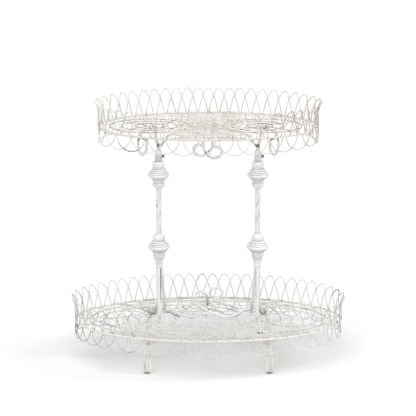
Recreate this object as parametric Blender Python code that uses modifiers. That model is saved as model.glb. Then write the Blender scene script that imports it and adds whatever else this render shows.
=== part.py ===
# Two-tier oval wire stand: two wire baskets on two posts, the upper one lifting out of its sockets.
# Metres, +Z up, X along the baskets' length, -Y towards the front, origin on the floor at the middle.
import math

import bmesh
import bpy
import numpy as np
from mathutils import Matrix, Vector

# Driving sizes of the two baskets
LOWER_HALF_LENGTH = 0.2955
LOWER_HALF_DEPTH = 0.156
LOWER_RIM_HEIGHT = 0.0935
UPPER_HALF_LENGTH = 0.2393
UPPER_HALF_DEPTH = 0.1263
UPPER_RIM_HEIGHT = 0.5373
RIM_RADIUS = 0.0025
LOWER_RIM_POINTS = 60
UPPER_RIM_POINTS = 56

# Fence of thin arches above each rim, wound as one wire that runs under the rim between two arches
FENCE_WIRE_RADIUS = 0.0011
FENCE_HEIGHT = 0.0557
FENCE_FLARE = 0.009
FENCE_LOWER_PITCH = 0.0259
FENCE_UPPER_PITCH = 0.0245
FENCE_SEAT = 0.0006
FENCE_CROSSING = 0.0017
FENCE_FOOT_SHARE = 0.90
FENCE_SHOULDER_SHARE = 0.56
FENCE_SHOULDER_HEIGHT_SHARE = 0.62
FENCE_CROWN_SHARE = 0.17
FENCE_CROWN_SIDE_SHARE = 0.4
FENCE_FLARE_START_SHARE = 0.55

# Row of wide loops that hangs under each rim
LOBE_WIRE_RADIUS = 0.0011
LOBE_DEPTH = 0.0355
LOBE_LOWER_PITCH = 0.0320
LOBE_UPPER_PITCH = 0.0377
LOBE_CROSSING = 0.0019
LOBE_TUCK = 0.0009
LOBE_FOOT_SHARE = 0.90
LOBE_SIDE_SHARE = 0.66
LOBE_SIDE_DEPTH_SHARE = 0.70

# Floors: a flat wire net with a thinner ring under it
CLEARANCE = 0.0003
WELD_DISTANCE = 0.01 * CLEARANCE
NET_THICKNESS = 0.002
NET_STRIP = 0.002
NET_ROW_PITCH = 0.032
NET_COLUMNS_PER_POST = 2
NET_OUTLINE_POINTS = 40
NET_SMALLEST_GAP_SHARE = 0.15
FLOOR_RING_RADIUS = 0.0015
FLOOR_RING_INSET = 0.010
FLOOR_RING_POINTS = 32

# Legs: one bent bar on each side with a drop-shaped foot at each end
LEG_RADIUS = 0.0020
LEG_SPREAD = 0.0993
LEG_SPLAY = 0.0257
LEG_KNEE = 0.022
FOOT_LOOP_HEIGHT = 0.041
FOOT_LOOP_HALF_WIDTH = 0.0060
FOOT_FLAT = 0.0005

# Posts, at the left and right of the middle
POST_X = 0.109
ROD_RADIUS = 0.00375
ROD_INNER_SPREAD = 0.012
ROD_OUTER_SPREAD = 0.008
ROD_INNER_SETBACK = 0.0373
ROD_OUTER_SETBACK = 0.025
SCROLL_RADIUS = 0.0095
SCROLL_WIRE_RADIUS = 0.0032
CUP_HEIGHT = 0.0090
CUP_RADIUS = 0.0086
CUP_FLOOR = 0.0022
LOWER_COLLAR_HEIGHT = 0.0197
LOWER_COLLAR_RADIUS = 0.0140
LOWER_KNOB_HEIGHT = 0.0338
LOWER_KNOB_RADIUS = 0.0241
LOWER_DOME_HEIGHT = 0.0167
LOWER_DOME_RADIUS = 0.0135
SHAFT_LENGTH = 0.1017
SHAFT_HALF_WIDTH = 0.0066
SHAFT_HALF_DEPTH = 0.0053
SHAFT_TURNS = 1.4
SHAFT_STEPS = 14
SPIGOT_RADIUS = 0.0030
UPPER_COLLAR_HEIGHT = 0.0126
UPPER_COLLAR_RADIUS = 0.0138
UPPER_KNOB_HEIGHT = 0.0332
UPPER_KNOB_RADIUS = 0.0237
UPPER_DOME_HEIGHT = 0.0151
UPPER_DOME_RADIUS = 0.0135
SLEEVE_HEIGHT = 0.0265
SLEEVE_RADIUS = 0.0080
SLEEVE_FLOOR = 0.0030
SLEEVE_TOP_DROP = 0.0527
TURNED_SIDES = 12

# Thumb screw through the right-hand wall of each sleeve
SCREW_HEIGHT_SHARE = 0.42
SCREW_RADIUS = 0.0015
SCREW_HEAD_RADIUS = 0.0036
SCREW_HEAD_LENGTH = 0.0040
DRILL_PLACE_SHARE = 0.75
SCREW_NECK = 0.0008
SCREW_SIDES = 10

# Under the upper basket: a bar in each sleeve, an arched brace, bows and drop-shaped side loops
STEM_RADIUS = 0.0032
STEM_LEAN = 0.0065
STEM_BEND_DROP = 0.045
STEM_LEAN_SHARE = 0.45
STEM_RISE_SHARE = 0.4
BRACE_RADIUS = 0.0024
BRACE_END_DROP = 0.043
BRACE_SHOULDER_DROP = 0.0195
BRACE_SHOULDER_X = 0.0833
BRACE_RISE_SHARE = 1.6 / 2.6
BOW_RADIUS = 0.0024
UPPER_BOW_HALF_WIDTH = 0.0307
UPPER_BOW_DROP = 0.0713
LOWER_BOW_HALF_WIDTH = 0.0325
LOWER_BOW_HEIGHT = 0.0730
LOWER_SWAG_LIFT = 0.0050
SIDE_LOOP_RADIUS = 0.0024
SIDE_LOOP_X = 0.1456
SIDE_LOOP_HALF_WIDTH = 0.0098
SIDE_LOOP_DROP = 0.0640
PATH_STEPS = 2

# Heights down the posts, from the sleeves that hold the upper basket to the cups; the rods fill the rest
NET_TOP = LOWER_RIM_HEIGHT + NET_THICKNESS / 2
SLEEVE_BOTTOM = UPPER_RIM_HEIGHT - SLEEVE_TOP_DROP - SLEEVE_HEIGHT
UPPER_DOME_BOTTOM = SLEEVE_BOTTOM - CLEARANCE - UPPER_DOME_HEIGHT
UPPER_KNOB_BOTTOM = UPPER_DOME_BOTTOM - CLEARANCE - UPPER_KNOB_HEIGHT
UPPER_COLLAR_BOTTOM = UPPER_KNOB_BOTTOM - CLEARANCE - UPPER_COLLAR_HEIGHT
SHAFT_BOTTOM = UPPER_COLLAR_BOTTOM - CLEARANCE - SHAFT_LENGTH
LOWER_DOME_BOTTOM = SHAFT_BOTTOM - CLEARANCE - LOWER_DOME_HEIGHT
LOWER_KNOB_BOTTOM = LOWER_DOME_BOTTOM - CLEARANCE - LOWER_KNOB_HEIGHT
LOWER_COLLAR_BOTTOM = LOWER_KNOB_BOTTOM - CLEARANCE - LOWER_COLLAR_HEIGHT
CUP_BOTTOM = LOWER_COLLAR_BOTTOM - CLEARANCE - CUP_HEIGHT
BORE_RADIUS = SPIGOT_RADIUS + CLEARANCE
SLEEVE_BORE = STEM_RADIUS + CLEARANCE
SCREW_HEIGHT = SLEEVE_BOTTOM + SLEEVE_HEIGHT * SCREW_HEIGHT_SHARE
UPPER_NET_BOTTOM = UPPER_RIM_HEIGHT - NET_THICKNESS / 2

for old in list(bpy.data.objects):
    bpy.data.objects.remove(old, do_unlink=True)


def new_collection(name):
    collection = bpy.data.collections.new(name)
    bpy.context.scene.collection.children.link(collection)
    return collection


STAND = new_collection("wire_stand")
CUTTERS = new_collection("cutters")


def paint(name, colour, roughness, metallic):
    material = bpy.data.materials.new(name)
    material.use_nodes = True
    shader = material.node_tree.nodes["Principled BSDF"]
    shader.inputs["Base Color"].default_value = (*colour, 1.0)
    shader.inputs["Roughness"].default_value = roughness
    shader.inputs["Metallic"].default_value = metallic
    material.diffuse_color = (*colour, 1.0)
    return material


# One material for each piece, in one of four finishes
FINISHES = {
    "wire": ((0.62, 0.58, 0.50), 0.60, 0.0),
    "rim": ((0.74, 0.70, 0.62), 0.55, 0.0),
    "cast": ((0.78, 0.77, 0.73), 0.50, 0.0),
    "screw": ((0.03, 0.03, 0.03), 0.45, 1.0),
}


def finish(piece, kind):
    colour, roughness, metallic = FINISHES[kind]
    piece.data.materials.clear()
    piece.data.materials.append(paint(piece.name + "_paint", colour, roughness, metallic))
    return piece


def wire(name, points, radius, kind="wire", cyclic=False, sides=4):
    curve = bpy.data.curves.new(name, "CURVE")
    curve.dimensions = "3D"
    curve.bevel_depth = radius
    curve.bevel_resolution = (sides - 4) // 2
    curve.use_fill_caps = not cyclic
    spline = curve.splines.new("POLY")
    spline.points.add(len(points) - 1)
    for target, point in zip(spline.points, points):
        target.co = (*point, 1.0)
    spline.use_cyclic_u = cyclic
    spline.use_smooth = True
    piece = bpy.data.objects.new(name, curve)
    STAND.objects.link(piece)
    return finish(piece, kind)


def as_mesh(piece):
    # A curve becomes a mesh with its caps welded on, ready to be cut
    bpy.context.view_layer.update()
    evaluated = piece.evaluated_get(bpy.context.evaluated_depsgraph_get())
    mesh = bpy.data.meshes.new_from_object(evaluated)
    work = bmesh.new()
    work.from_mesh(mesh)
    bmesh.ops.remove_doubles(work, verts=work.verts, dist=WELD_DISTANCE)
    bmesh.ops.recalc_face_normals(work, faces=work.faces)
    work.to_mesh(mesh)
    work.free()
    name = piece.name
    solid = bpy.data.objects.new(name, mesh)
    solid.matrix_world = piece.matrix_world
    STAND.objects.link(solid)
    bpy.data.objects.remove(piece, do_unlink=True)
    solid.name = name
    return solid


def cut(piece, cutter):
    cutter.display_type = "WIRE"
    cutter.hide_render = True
    modifier = piece.modifiers.new("cut", "BOOLEAN")
    modifier.operation = "DIFFERENCE"
    modifier.solver = "EXACT"
    modifier.object = cutter


def turned(name, outline, place, kind="cast", sides=TURNED_SIDES, closed=True):
    # Outline points are (radius, height); the outer side runs from top to bottom
    mesh = bpy.data.meshes.new(name)
    count = len(outline)
    edges = [(index, index + 1) for index in range(count - 1)]
    if closed:
        edges.append((count - 1, 0))
    mesh.from_pydata([(radius, 0.0, height) for radius, height in outline], edges, [])
    piece = bpy.data.objects.new(name, mesh)
    STAND.objects.link(piece)
    piece.location = place
    screw = piece.modifiers.new("turn", "SCREW")
    screw.axis = "Z"
    screw.angle = 2 * math.pi
    screw.steps = sides
    screw.render_steps = sides
    screw.use_merge_vertices = True
    screw.merge_threshold = WELD_DISTANCE
    screw.use_smooth_shade = True
    return finish(piece, kind)


# An oval measured along its length, so that a wire row keeps its pitch all the way round
class Oval:
    def __init__(self, half_length, half_depth, height):
        self.half_length = half_length
        self.half_depth = half_depth
        self.height = height
        self.angles = np.linspace(-math.pi / 2, 1.5 * math.pi, 4001)
        x = half_length * np.cos(self.angles)
        y = half_depth * np.sin(self.angles)
        steps = np.hypot(np.diff(x), np.diff(y))
        self.lengths = np.concatenate([[0.0], np.cumsum(steps)])
        self.perimeter = self.lengths[-1]

    def point_at_angle(self, angle, outward=0.0, lift=0.0):
        normal = Vector((math.cos(angle) / self.half_length, math.sin(angle) / self.half_depth))
        normal.normalize()
        x = self.half_length * math.cos(angle) + outward * normal.x
        y = self.half_depth * math.sin(angle) + outward * normal.y
        return Vector((x, y, self.height + lift))

    def point(self, along, outward=0.0, lift=0.0):
        angle = float(np.interp(along % self.perimeter, self.lengths, self.angles))
        return self.point_at_angle(angle, outward, lift)

    def ring(self, count, outward=0.0, lift=0.0):
        angles = [2 * math.pi * index / count for index in range(count)]
        return [self.point_at_angle(angle, outward, lift) for angle in angles]


LOWER = Oval(LOWER_HALF_LENGTH, LOWER_HALF_DEPTH, LOWER_RIM_HEIGHT)
UPPER = Oval(UPPER_HALF_LENGTH, UPPER_HALF_DEPTH, UPPER_RIM_HEIGHT)


def least_gap(name, points, radius):
    # Least gap of a closed wire to itself, on points read every wire radius along it
    corners = np.array([tuple(point) for point in points])
    ends = np.roll(corners, -1, axis=0)
    samples = []
    places = []
    run = 0.0
    for start, end in zip(corners, ends):
        length = float(np.linalg.norm(end - start))
        count = max(1, int(length / (2 * radius)))
        shares = np.arange(count)[:, None] / count
        samples.append(start + (end - start) * shares)
        places.append(run + length * shares[:, 0])
        run += length
    samples = np.concatenate(samples)
    places = np.concatenate(places)
    least = run
    for index in range(0, len(samples), 200):
        block = samples[index:index + 200]
        apart = np.abs(places[index:index + 200, None] - places[None, :])
        apart = np.minimum(apart, run - apart)
        distance = np.linalg.norm(block[:, None, :] - samples[None, :, :], axis=2)
        distance[apart < 8 * radius] = run
        least = min(least, float(distance.min()))
    print(f"{name}: least gap to itself {1000 * (least - 2 * radius):.2f} mm")


def fence(name, oval, pitch):
    # Left legs pass outside the rim and right legs inside, so that neighbouring arches cross clear
    arches = round(oval.perimeter / pitch)
    step = oval.perimeter / arches
    foot = RIM_RADIUS + FENCE_SEAT + FENCE_WIRE_RADIUS
    under = -(RIM_RADIUS + FENCE_SEAT + FENCE_WIRE_RADIUS)
    shoulder_height = FENCE_HEIGHT * FENCE_SHOULDER_HEIGHT_SHARE
    flare_start = FENCE_HEIGHT * FENCE_FLARE_START_SHARE
    flare_run = FENCE_HEIGHT - flare_start

    def flare(height):
        return FENCE_FLARE * (max(0.0, height - flare_start) / flare_run) ** 2

    legs = [
        (FENCE_FOOT_SHARE, foot, under),
        (FENCE_SHOULDER_SHARE, FENCE_CROSSING, shoulder_height),
        (FENCE_CROWN_SHARE, FENCE_CROSSING * FENCE_CROWN_SIDE_SHARE, FENCE_HEIGHT),
    ]
    points = []
    for arch in range(arches):
        middle = (arch + 0.5) * step
        for share, side, height in legs:
            points.append(oval.point(middle - share * step, flare(height) + side, height))
        for share, side, height in reversed(legs):
            points.append(oval.point(middle + share * step, flare(height) - side, height))
    least_gap(name, points, FENCE_WIRE_RADIUS)
    return wire(name, points, FENCE_WIRE_RADIUS, cyclic=True)


def lobes(name, oval, pitch):
    # Wide hanging loops below the wire of the fence, left sides outside and right sides inside. The
    # tuck takes up what the four-sided wires lack between their corners, so that the loops are seated
    count = round(oval.perimeter / pitch)
    step = oval.perimeter / count
    drop = RIM_RADIUS + FENCE_SEAT + 2 * FENCE_WIRE_RADIUS + CLEARANCE + LOBE_WIRE_RADIUS
    top = LOBE_TUCK - drop
    side_depth = top - (LOBE_DEPTH + top) * LOBE_SIDE_DEPTH_SHARE
    sides = [(LOBE_FOOT_SHARE, top), (LOBE_SIDE_SHARE, side_depth)]
    points = []
    for lobe in range(count):
        middle = (lobe + 0.5) * step
        for share, lift in sides:
            points.append(oval.point(middle - share * step, LOBE_CROSSING, lift))
        points.append(oval.point(middle, 0.0, -LOBE_DEPTH))
        for share, lift in reversed(sides):
            points.append(oval.point(middle + share * step, -LOBE_CROSSING, lift))
    least_gap(name, points, LOBE_WIRE_RADIUS)
    return wire(name, points, LOBE_WIRE_RADIUS, cyclic=True)


def clip(polygon, outline):
    # Keeps the part of a polygon that lies inside a convex outline that runs anticlockwise
    for start, end in zip(outline, outline[1:] + outline[:1]):
        kept = []
        for here, after in zip(polygon, polygon[1:] + polygon[:1]):
            edge = (end[0] - start[0], end[1] - start[1])
            inside_here = edge[0] * (here[1] - start[1]) - edge[1] * (here[0] - start[0])
            inside_after = edge[0] * (after[1] - start[1]) - edge[1] * (after[0] - start[0])
            if inside_here >= 0:
                kept.append(here)
            if (inside_here >= 0) != (inside_after >= 0):
                share = inside_here / (inside_here - inside_after)
                kept.append(tuple(h + share * (a - h) for h, a in zip(here, after)))
        polygon = kept
        if not polygon:
            break
    return polygon


def area(polygon):
    pairs = zip(polygon, polygon[1:] + polygon[:1])
    return 0.5 * sum(here[0] * after[1] - here[1] * after[0] for here, after in pairs)


def net(name, oval):
    # Flat net of straight wires with its oval border just inside the legs of the fence
    edge = RIM_RADIUS + FENCE_SEAT + 2 * FENCE_WIRE_RADIUS + CLEARANCE
    border = [(p.x, p.y) for p in oval.ring(NET_OUTLINE_POINTS, -edge)]
    inside = [(p.x, p.y) for p in oval.ring(NET_OUTLINE_POINTS, -edge - NET_STRIP)]
    column_pitch = POST_X / NET_COLUMNS_PER_POST
    columns = math.ceil(oval.half_length / column_pitch)
    rows = math.ceil(oval.half_depth / NET_ROW_PITCH)
    full = (column_pitch - NET_STRIP) * (NET_ROW_PITCH - NET_STRIP)
    gaps = []
    for row in range(-rows, rows):
        for column in range(-columns, columns):
            left = column * column_pitch + NET_STRIP / 2
            right = (column + 1) * column_pitch - NET_STRIP / 2
            front = row * NET_ROW_PITCH + NET_STRIP / 2
            back = (row + 1) * NET_ROW_PITCH - NET_STRIP / 2
            gap = clip([(left, front), (right, front), (right, back), (left, back)], inside)
            if gap and area(gap) > NET_SMALLEST_GAP_SHARE * full:
                gaps.append(gap)
    curve = bpy.data.curves.new(name, "CURVE")
    curve.dimensions = "2D"
    curve.fill_mode = "BOTH"
    curve.extrude = NET_THICKNESS / 2
    for outline in [border] + gaps:
        spline = curve.splines.new("POLY")
        spline.points.add(len(outline) - 1)
        for target, (x, y) in zip(spline.points, outline):
            target.co = (x, y, 0.0, 1.0)
        spline.use_cyclic_u = True
    piece = bpy.data.objects.new(name, curve)
    piece.location = (0.0, 0.0, oval.height)
    STAND.objects.link(piece)
    print(f"{name}: {len(gaps)} gaps")
    return finish(piece, "wire")


def basket(tier, oval, rim_points, fence_pitch, lobe_pitch):
    wire(tier + "_rim", oval.ring(rim_points), RIM_RADIUS, "rim", cyclic=True)
    fence(tier + "_fence", oval, fence_pitch)
    lobes(tier + "_lobes", oval, lobe_pitch)
    net(tier + "_floor_net", oval)
    ring_lift = -(NET_THICKNESS / 2 + CLEARANCE + FLOOR_RING_RADIUS)
    ring = oval.ring(FLOOR_RING_POINTS, -FLOOR_RING_INSET, ring_lift)
    wire(tier + "_floor_ring", ring, FLOOR_RING_RADIUS, cyclic=True)


def smooth_path(points, steps=PATH_STEPS):
    # Catmull-Rom curve through hand-placed points
    knots = [Vector(point) for point in points]
    knots = [2 * knots[0] - knots[1]] + knots + [2 * knots[-1] - knots[-2]]
    path = []
    for before, start, end, after in zip(knots, knots[1:], knots[2:], knots[3:]):
        for step in range(steps):
            t = step / steps
            tension = (2 * before - 5 * start + 4 * end - after) * t * t
            cubic = (3 * start - before - 3 * end + after) * t ** 3
            path.append(0.5 * (2 * start + (end - before) * t + tension + cubic))
    path.append(knots[-2])
    return path


# Knee of a leg, as shares of its splay (across) and of its knee (inwards and down), then its foot as
# shares of the loop's half width and height, from the leg down, round and up inside
KNEE_SHARES = [(0.75, 0.0, 1.0), (0.35, 0.15, 0.35), (0.10, 0.55, 0.05), (0.0, 1.0, 0.0)]
FOOT_SHARES = [
    (0.85, 1.10), (1.0, 0.62), (0.82, 0.22), (0.42, 0.02), (0.0, 0.0), (-0.42, 0.02),
    (-0.82, 0.22), (-1.0, 0.60), (-0.62, 0.90), (-0.12, 0.86), (0.0, 0.45),
]


def leg_bar(side, name):
    # From the front foot up over the knee, back under the net and down to the back foot
    bar_height = LOWER_RIM_HEIGHT - NET_THICKNESS / 2 - CLEARANCE - LEG_RADIUS
    bottom = LEG_RADIUS - FOOT_FLAT
    foot_x = POST_X + LEG_SPLAY
    loop = []
    for across_share, up_share in FOOT_SHARES:
        loop.append((foot_x + across_share * FOOT_LOOP_HALF_WIDTH, bottom + up_share * FOOT_LOOP_HEIGHT))
    knee = []
    for across_share, in_share, down_share in KNEE_SHARES:
        x = POST_X + across_share * LEG_SPLAY
        knee.append((x, LEG_SPREAD - in_share * LEG_KNEE, bar_height - down_share * LEG_KNEE))
    half = [(x, LEG_SPREAD, z) for x, z in reversed(loop)] + knee
    front = smooth_path([(side * x, -y, z) for x, y, z in half])
    back = smooth_path([(side * x, y, z) for x, y, z in half])
    piece = as_mesh(wire(name, front + back[::-1], LEG_RADIUS, "rim"))
    mesh = bpy.data.meshes.new("ground")
    block = bmesh.new()
    bmesh.ops.create_cube(block, size=1.0)
    size = Vector((4 * LEG_SPLAY, 4 * LEG_SPREAD, 2 * LEG_RADIUS))
    bmesh.ops.scale(block, vec=size, verts=block.verts)
    block.to_mesh(mesh)
    block.free()
    cutter = bpy.data.objects.new(name + "_ground", mesh)
    cutter.location = (side * foot_x, 0.0, -LEG_RADIUS)
    CUTTERS.objects.link(cutter)
    cut(piece, cutter)


def rods(side, suffix):
    # Three rods under the cup: one straight down in front, two that splay out behind
    seat = 2 * (ROD_RADIUS + CLEARANCE / 2) / math.sqrt(3)
    top = CUP_BOTTOM - CLEARANCE
    foot = NET_TOP + CLEARANCE
    behind = seat / 2
    apart = ROD_RADIUS + CLEARANCE
    post = side * POST_X
    wire("rod_front_" + suffix, [(post, -seat, top), (post, -seat, foot)], ROD_RADIUS, "cast", sides=8)
    inner = post - side * ROD_INNER_SPREAD
    head = post - side * apart
    points = [
        (head, behind, top), (head, behind, top - ROD_RADIUS),
        (inner, ROD_INNER_SETBACK, foot + ROD_RADIUS), (inner, ROD_INNER_SETBACK, foot),
    ]
    wire("rod_inner_" + suffix, points, ROD_RADIUS, "cast", sides=8)
    outer = post + side * ROD_OUTER_SPREAD
    head = post + side * apart
    curl_shares = [(0.0, 1.3), (0.3, 0.35), (1.0, 0.0), (1.75, 0.45), (1.75, 1.25), (1.15, 1.6)]
    base = foot + SCROLL_WIRE_RADIUS
    reach = SCROLL_RADIUS - SCROLL_WIRE_RADIUS
    curl = []
    for out_share, up_share in curl_shares:
        curl.append((outer + side * out_share * reach, ROD_OUTER_SETBACK, base + up_share * reach))
    path = [(head, behind, top)] + smooth_path([(head, behind, top - ROD_RADIUS)] + curl)
    wire("rod_outer_" + suffix, path, SCROLL_WIRE_RADIUS, "cast", sides=6)


def shares_outline(shares, height, radius):
    return [(r * radius, z * height) for z, r in shares]


# Turned outlines: height and radius as shares of the piece, top to bottom
CUP_SHARES = [(1.0, 0.90), (0.88, 1.0), (0.45, 0.95), (0.0, 0.69)]
LOWER_COLLAR_SHARES = [
    (1.0, 1.0), (0.80, 1.0), (0.72, 0.86), (0.52, 0.86), (0.44, 0.70), (0.20, 0.66), (0.0, 0.52),
]
LOWER_KNOB_SHARES = [
    (1.0, 0.52), (0.90, 0.70), (0.62, 0.98), (0.55, 1.0), (0.48, 0.98), (0.14, 0.66), (0.0, 0.60),
]
LOWER_DOME_SHARES = [(1.0, 0.52), (0.86, 0.80), (0.55, 0.97), (0.30, 1.0), (0.0, 0.92)]
UPPER_COLLAR_SHARES = [(1.0, 0.96), (0.88, 1.0), (0.76, 0.96), (0.62, 0.70), (0.35, 0.62), (0.0, 0.45)]
UPPER_KNOB_SHARES = [
    (1.0, 0.52), (0.88, 0.70), (0.62, 0.97), (0.55, 1.0), (0.46, 0.97), (0.14, 0.72), (0.0, 0.62),
]
UPPER_DOME_SHARES = [(1.0, 0.62), (0.84, 0.86), (0.55, 0.98), (0.30, 1.0), (0.0, 0.92)]


def beads(side, suffix):
    # Turned pieces threaded on the two ends of the shaft

    def bead(name, shares, height, radius, bottom):
        outline = shares_outline(shares, height, radius)
        outline += [(BORE_RADIUS, 0.0), (BORE_RADIUS, height)]
        turned(name + suffix, outline, (side * POST_X, 0.0, bottom))

    height, radius = LOWER_COLLAR_HEIGHT, LOWER_COLLAR_RADIUS
    bead("lower_collar_", LOWER_COLLAR_SHARES, height, radius, LOWER_COLLAR_BOTTOM)
    height, radius = LOWER_KNOB_HEIGHT, LOWER_KNOB_RADIUS
    bead("lower_knob_", LOWER_KNOB_SHARES, height, radius, LOWER_KNOB_BOTTOM)
    height, radius = LOWER_DOME_HEIGHT, LOWER_DOME_RADIUS
    bead("lower_dome_", LOWER_DOME_SHARES, height, radius, LOWER_DOME_BOTTOM)
    height, radius = UPPER_COLLAR_HEIGHT, UPPER_COLLAR_RADIUS
    bead("upper_collar_", UPPER_COLLAR_SHARES, height, radius, UPPER_COLLAR_BOTTOM)
    height, radius = UPPER_KNOB_HEIGHT, UPPER_KNOB_RADIUS
    bead("upper_knob_", UPPER_KNOB_SHARES, height, radius, UPPER_KNOB_BOTTOM)
    height, radius = UPPER_DOME_HEIGHT, UPPER_DOME_RADIUS
    bead("upper_dome_", UPPER_DOME_SHARES, height, radius, UPPER_DOME_BOTTOM)
    cup = [(0.0, CUP_FLOOR), (BORE_RADIUS, CUP_FLOOR), (BORE_RADIUS, CUP_HEIGHT)]
    cup += shares_outline(CUP_SHARES, CUP_HEIGHT, CUP_RADIUS) + [(0.0, 0.0)]
    turned("cup_" + suffix, cup, (side * POST_X, 0.0, CUP_BOTTOM), closed=False)


def shaft(side, suffix):
    # Twisted bar of eight sides, with a round spigot at each end that carries the turned pieces
    lower_spigot = SHAFT_BOTTOM - (CUP_BOTTOM + CUP_FLOOR + CLEARANCE)
    upper_spigot = SLEEVE_BOTTOM - CLEARANCE - (SHAFT_BOTTOM + SHAFT_LENGTH)
    work = bmesh.new()
    sides = 8
    turn = 2 * math.pi / sides

    def section(height, half_width, half_depth, angle):
        spin = Matrix.Rotation(angle, 3, "Z")
        corners = []
        for index in range(sides):
            flat = turn * (index + 0.5)
            corner = Vector((half_width * math.cos(flat), half_depth * math.sin(flat), 0.0))
            corners.append(work.verts.new(spin @ corner + Vector((0.0, 0.0, height))))
        return corners

    rings = [section(-lower_spigot, SPIGOT_RADIUS, SPIGOT_RADIUS, 0.0)]
    rings.append(section(0.0, SPIGOT_RADIUS, SPIGOT_RADIUS, 0.0))
    for step in range(SHAFT_STEPS + 1):
        share = step / SHAFT_STEPS
        angle = 2 * math.pi * SHAFT_TURNS * share
        rings.append(section(SHAFT_LENGTH * share, SHAFT_HALF_WIDTH, SHAFT_HALF_DEPTH, angle))
    last = 2 * math.pi * SHAFT_TURNS
    rings.append(section(SHAFT_LENGTH, SPIGOT_RADIUS, SPIGOT_RADIUS, last))
    rings.append(section(SHAFT_LENGTH + upper_spigot, SPIGOT_RADIUS, SPIGOT_RADIUS, last))
    work.faces.new(rings[0][::-1])
    work.faces.new(rings[-1])
    for low, high in zip(rings, rings[1:]):
        for index in range(sides):
            after = (index + 1) % sides
            work.faces.new((low[index], low[after], high[after], high[index]))
    bmesh.ops.recalc_face_normals(work, faces=work.faces)
    mesh = bpy.data.meshes.new("shaft_" + suffix)
    work.to_mesh(mesh)
    work.free()
    piece = bpy.data.objects.new("shaft_" + suffix, mesh)
    piece.location = (side * POST_X, 0.0, SHAFT_BOTTOM)
    STAND.objects.link(piece)
    finish(piece, "cast")


def sleeve(side, suffix):
    # Socket for the upper basket's bar, drilled through its right-hand wall for the thumb screw
    outline = [
        (0.0, SLEEVE_FLOOR), (SLEEVE_BORE, SLEEVE_FLOOR), (SLEEVE_BORE, SLEEVE_HEIGHT),
        (SLEEVE_RADIUS, SLEEVE_HEIGHT), (SLEEVE_RADIUS, 0.0), (0.0, 0.0),
    ]
    post = side * POST_X
    piece = turned("sleeve_" + suffix, outline, (post, 0.0, SLEEVE_BOTTOM), closed=False)
    mesh = bpy.data.meshes.new("drill")
    work = bmesh.new()
    drill = SCREW_RADIUS + CLEARANCE
    bmesh.ops.create_cone(
        work, cap_ends=True, segments=SCREW_SIDES, radius1=drill, radius2=drill, depth=SLEEVE_RADIUS,
    )
    work.to_mesh(mesh)
    work.free()
    cutter = bpy.data.objects.new("drill_" + suffix, mesh)
    cutter.rotation_euler = (0.0, math.pi / 2, 0.0)
    cutter.location = (post + DRILL_PLACE_SHARE * SLEEVE_RADIUS, 0.0, SCREW_HEIGHT)
    CUTTERS.objects.link(cutter)
    cut(piece, cutter)


def thumb_screw(side, suffix):
    # Shank from just off the bar out to a round head; its origin lies on its axis
    tip = STEM_RADIUS + CLEARANCE
    head = SLEEVE_RADIUS + SCREW_NECK
    outline = [
        (0.0, head + SCREW_HEAD_LENGTH), (SCREW_HEAD_RADIUS, head + SCREW_HEAD_LENGTH),
        (SCREW_HEAD_RADIUS, head), (SCREW_RADIUS, head), (SCREW_RADIUS, tip), (0.0, tip),
    ]
    place = (side * POST_X, 0.0, SCREW_HEIGHT)
    piece = turned("thumb_screw_" + suffix, outline, place, "screw", SCREW_SIDES, closed=False)
    piece.rotation_euler = (0.0, math.pi / 2, 0.0)


def stem(side, suffix):
    # Bar from the socket up to the net, leaning outwards above the socket
    post = side * POST_X
    bend = UPPER_RIM_HEIGHT - STEM_BEND_DROP
    low = SLEEVE_BOTTOM + SLEEVE_FLOOR + CLEARANCE
    high = UPPER_NET_BOTTOM - CLEARANCE
    lean = side * STEM_LEAN
    points = [
        (post, 0.0, low), (post, 0.0, bend),
        (post + STEM_LEAN_SHARE * lean, 0.0, bend + STEM_RISE_SHARE * (high - bend)),
        (post + lean, 0.0, high - STEM_RADIUS), (post + lean, 0.0, high),
    ]
    wire("stem_" + suffix, points, STEM_RADIUS, "rim", sides=8)


def brace():
    # Arched wire from one bar to the other, highest under the middle of the net
    end = POST_X - STEM_RADIUS - CLEARANCE - BRACE_RADIUS
    middle = UPPER_NET_BOTTOM - CLEARANCE - BRACE_RADIUS
    shoulder = UPPER_RIM_HEIGHT - BRACE_SHOULDER_DROP
    low = UPPER_RIM_HEIGHT - BRACE_END_DROP
    half = [
        (end, 0.0, low), ((end + BRACE_SHOULDER_X) / 2, 0.0, (low + shoulder) / 2),
        (BRACE_SHOULDER_X, 0.0, shoulder),
        (BRACE_SHOULDER_X / 2, 0.0, shoulder + BRACE_RISE_SHARE * (middle - shoulder)),
    ]
    right = [(-x, y, z) for x, y, z in half]
    path = smooth_path(right + [(0.0, 0.0, middle)] + half[::-1])
    wire("upper_brace", path, BRACE_RADIUS, "rim")


# Bow strands in shares of the bow's half width and drop, from the top of the stem to the end of the loop
UPPER_BOW_SHARES = [
    (-0.25, 0.098), (-0.37, 0.40), (-0.34, 0.60), (-0.08, 0.85), (0.42, 1.0),
    (0.90, 0.93), (1.0, 0.78), (0.68, 0.63), (0.36, 0.67),
]


def upper_bow(direction, name):
    plane = direction * (BOW_RADIUS + CLEARANCE)
    points = []
    for across, down in UPPER_BOW_SHARES:
        x = direction * across * UPPER_BOW_HALF_WIDTH
        points.append((x, plane, UPPER_RIM_HEIGHT - down * UPPER_BOW_DROP))
    wire(name, smooth_path(points), BOW_RADIUS, "cast")


# Lower bow strand: loop first, then the crossing, then the swag towards the other post
LOWER_BOW_SHARES = [
    (0.10, 0.60), (0.10, 0.82), (0.28, 0.96), (0.55, 1.0), (0.88, 0.95), (1.0, 0.83),
    (0.85, 0.70), (0.50, 0.62), (0.10, 0.56), (-0.10, 0.46), (-0.32, 0.30), (-0.60, 0.16),
]

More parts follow.
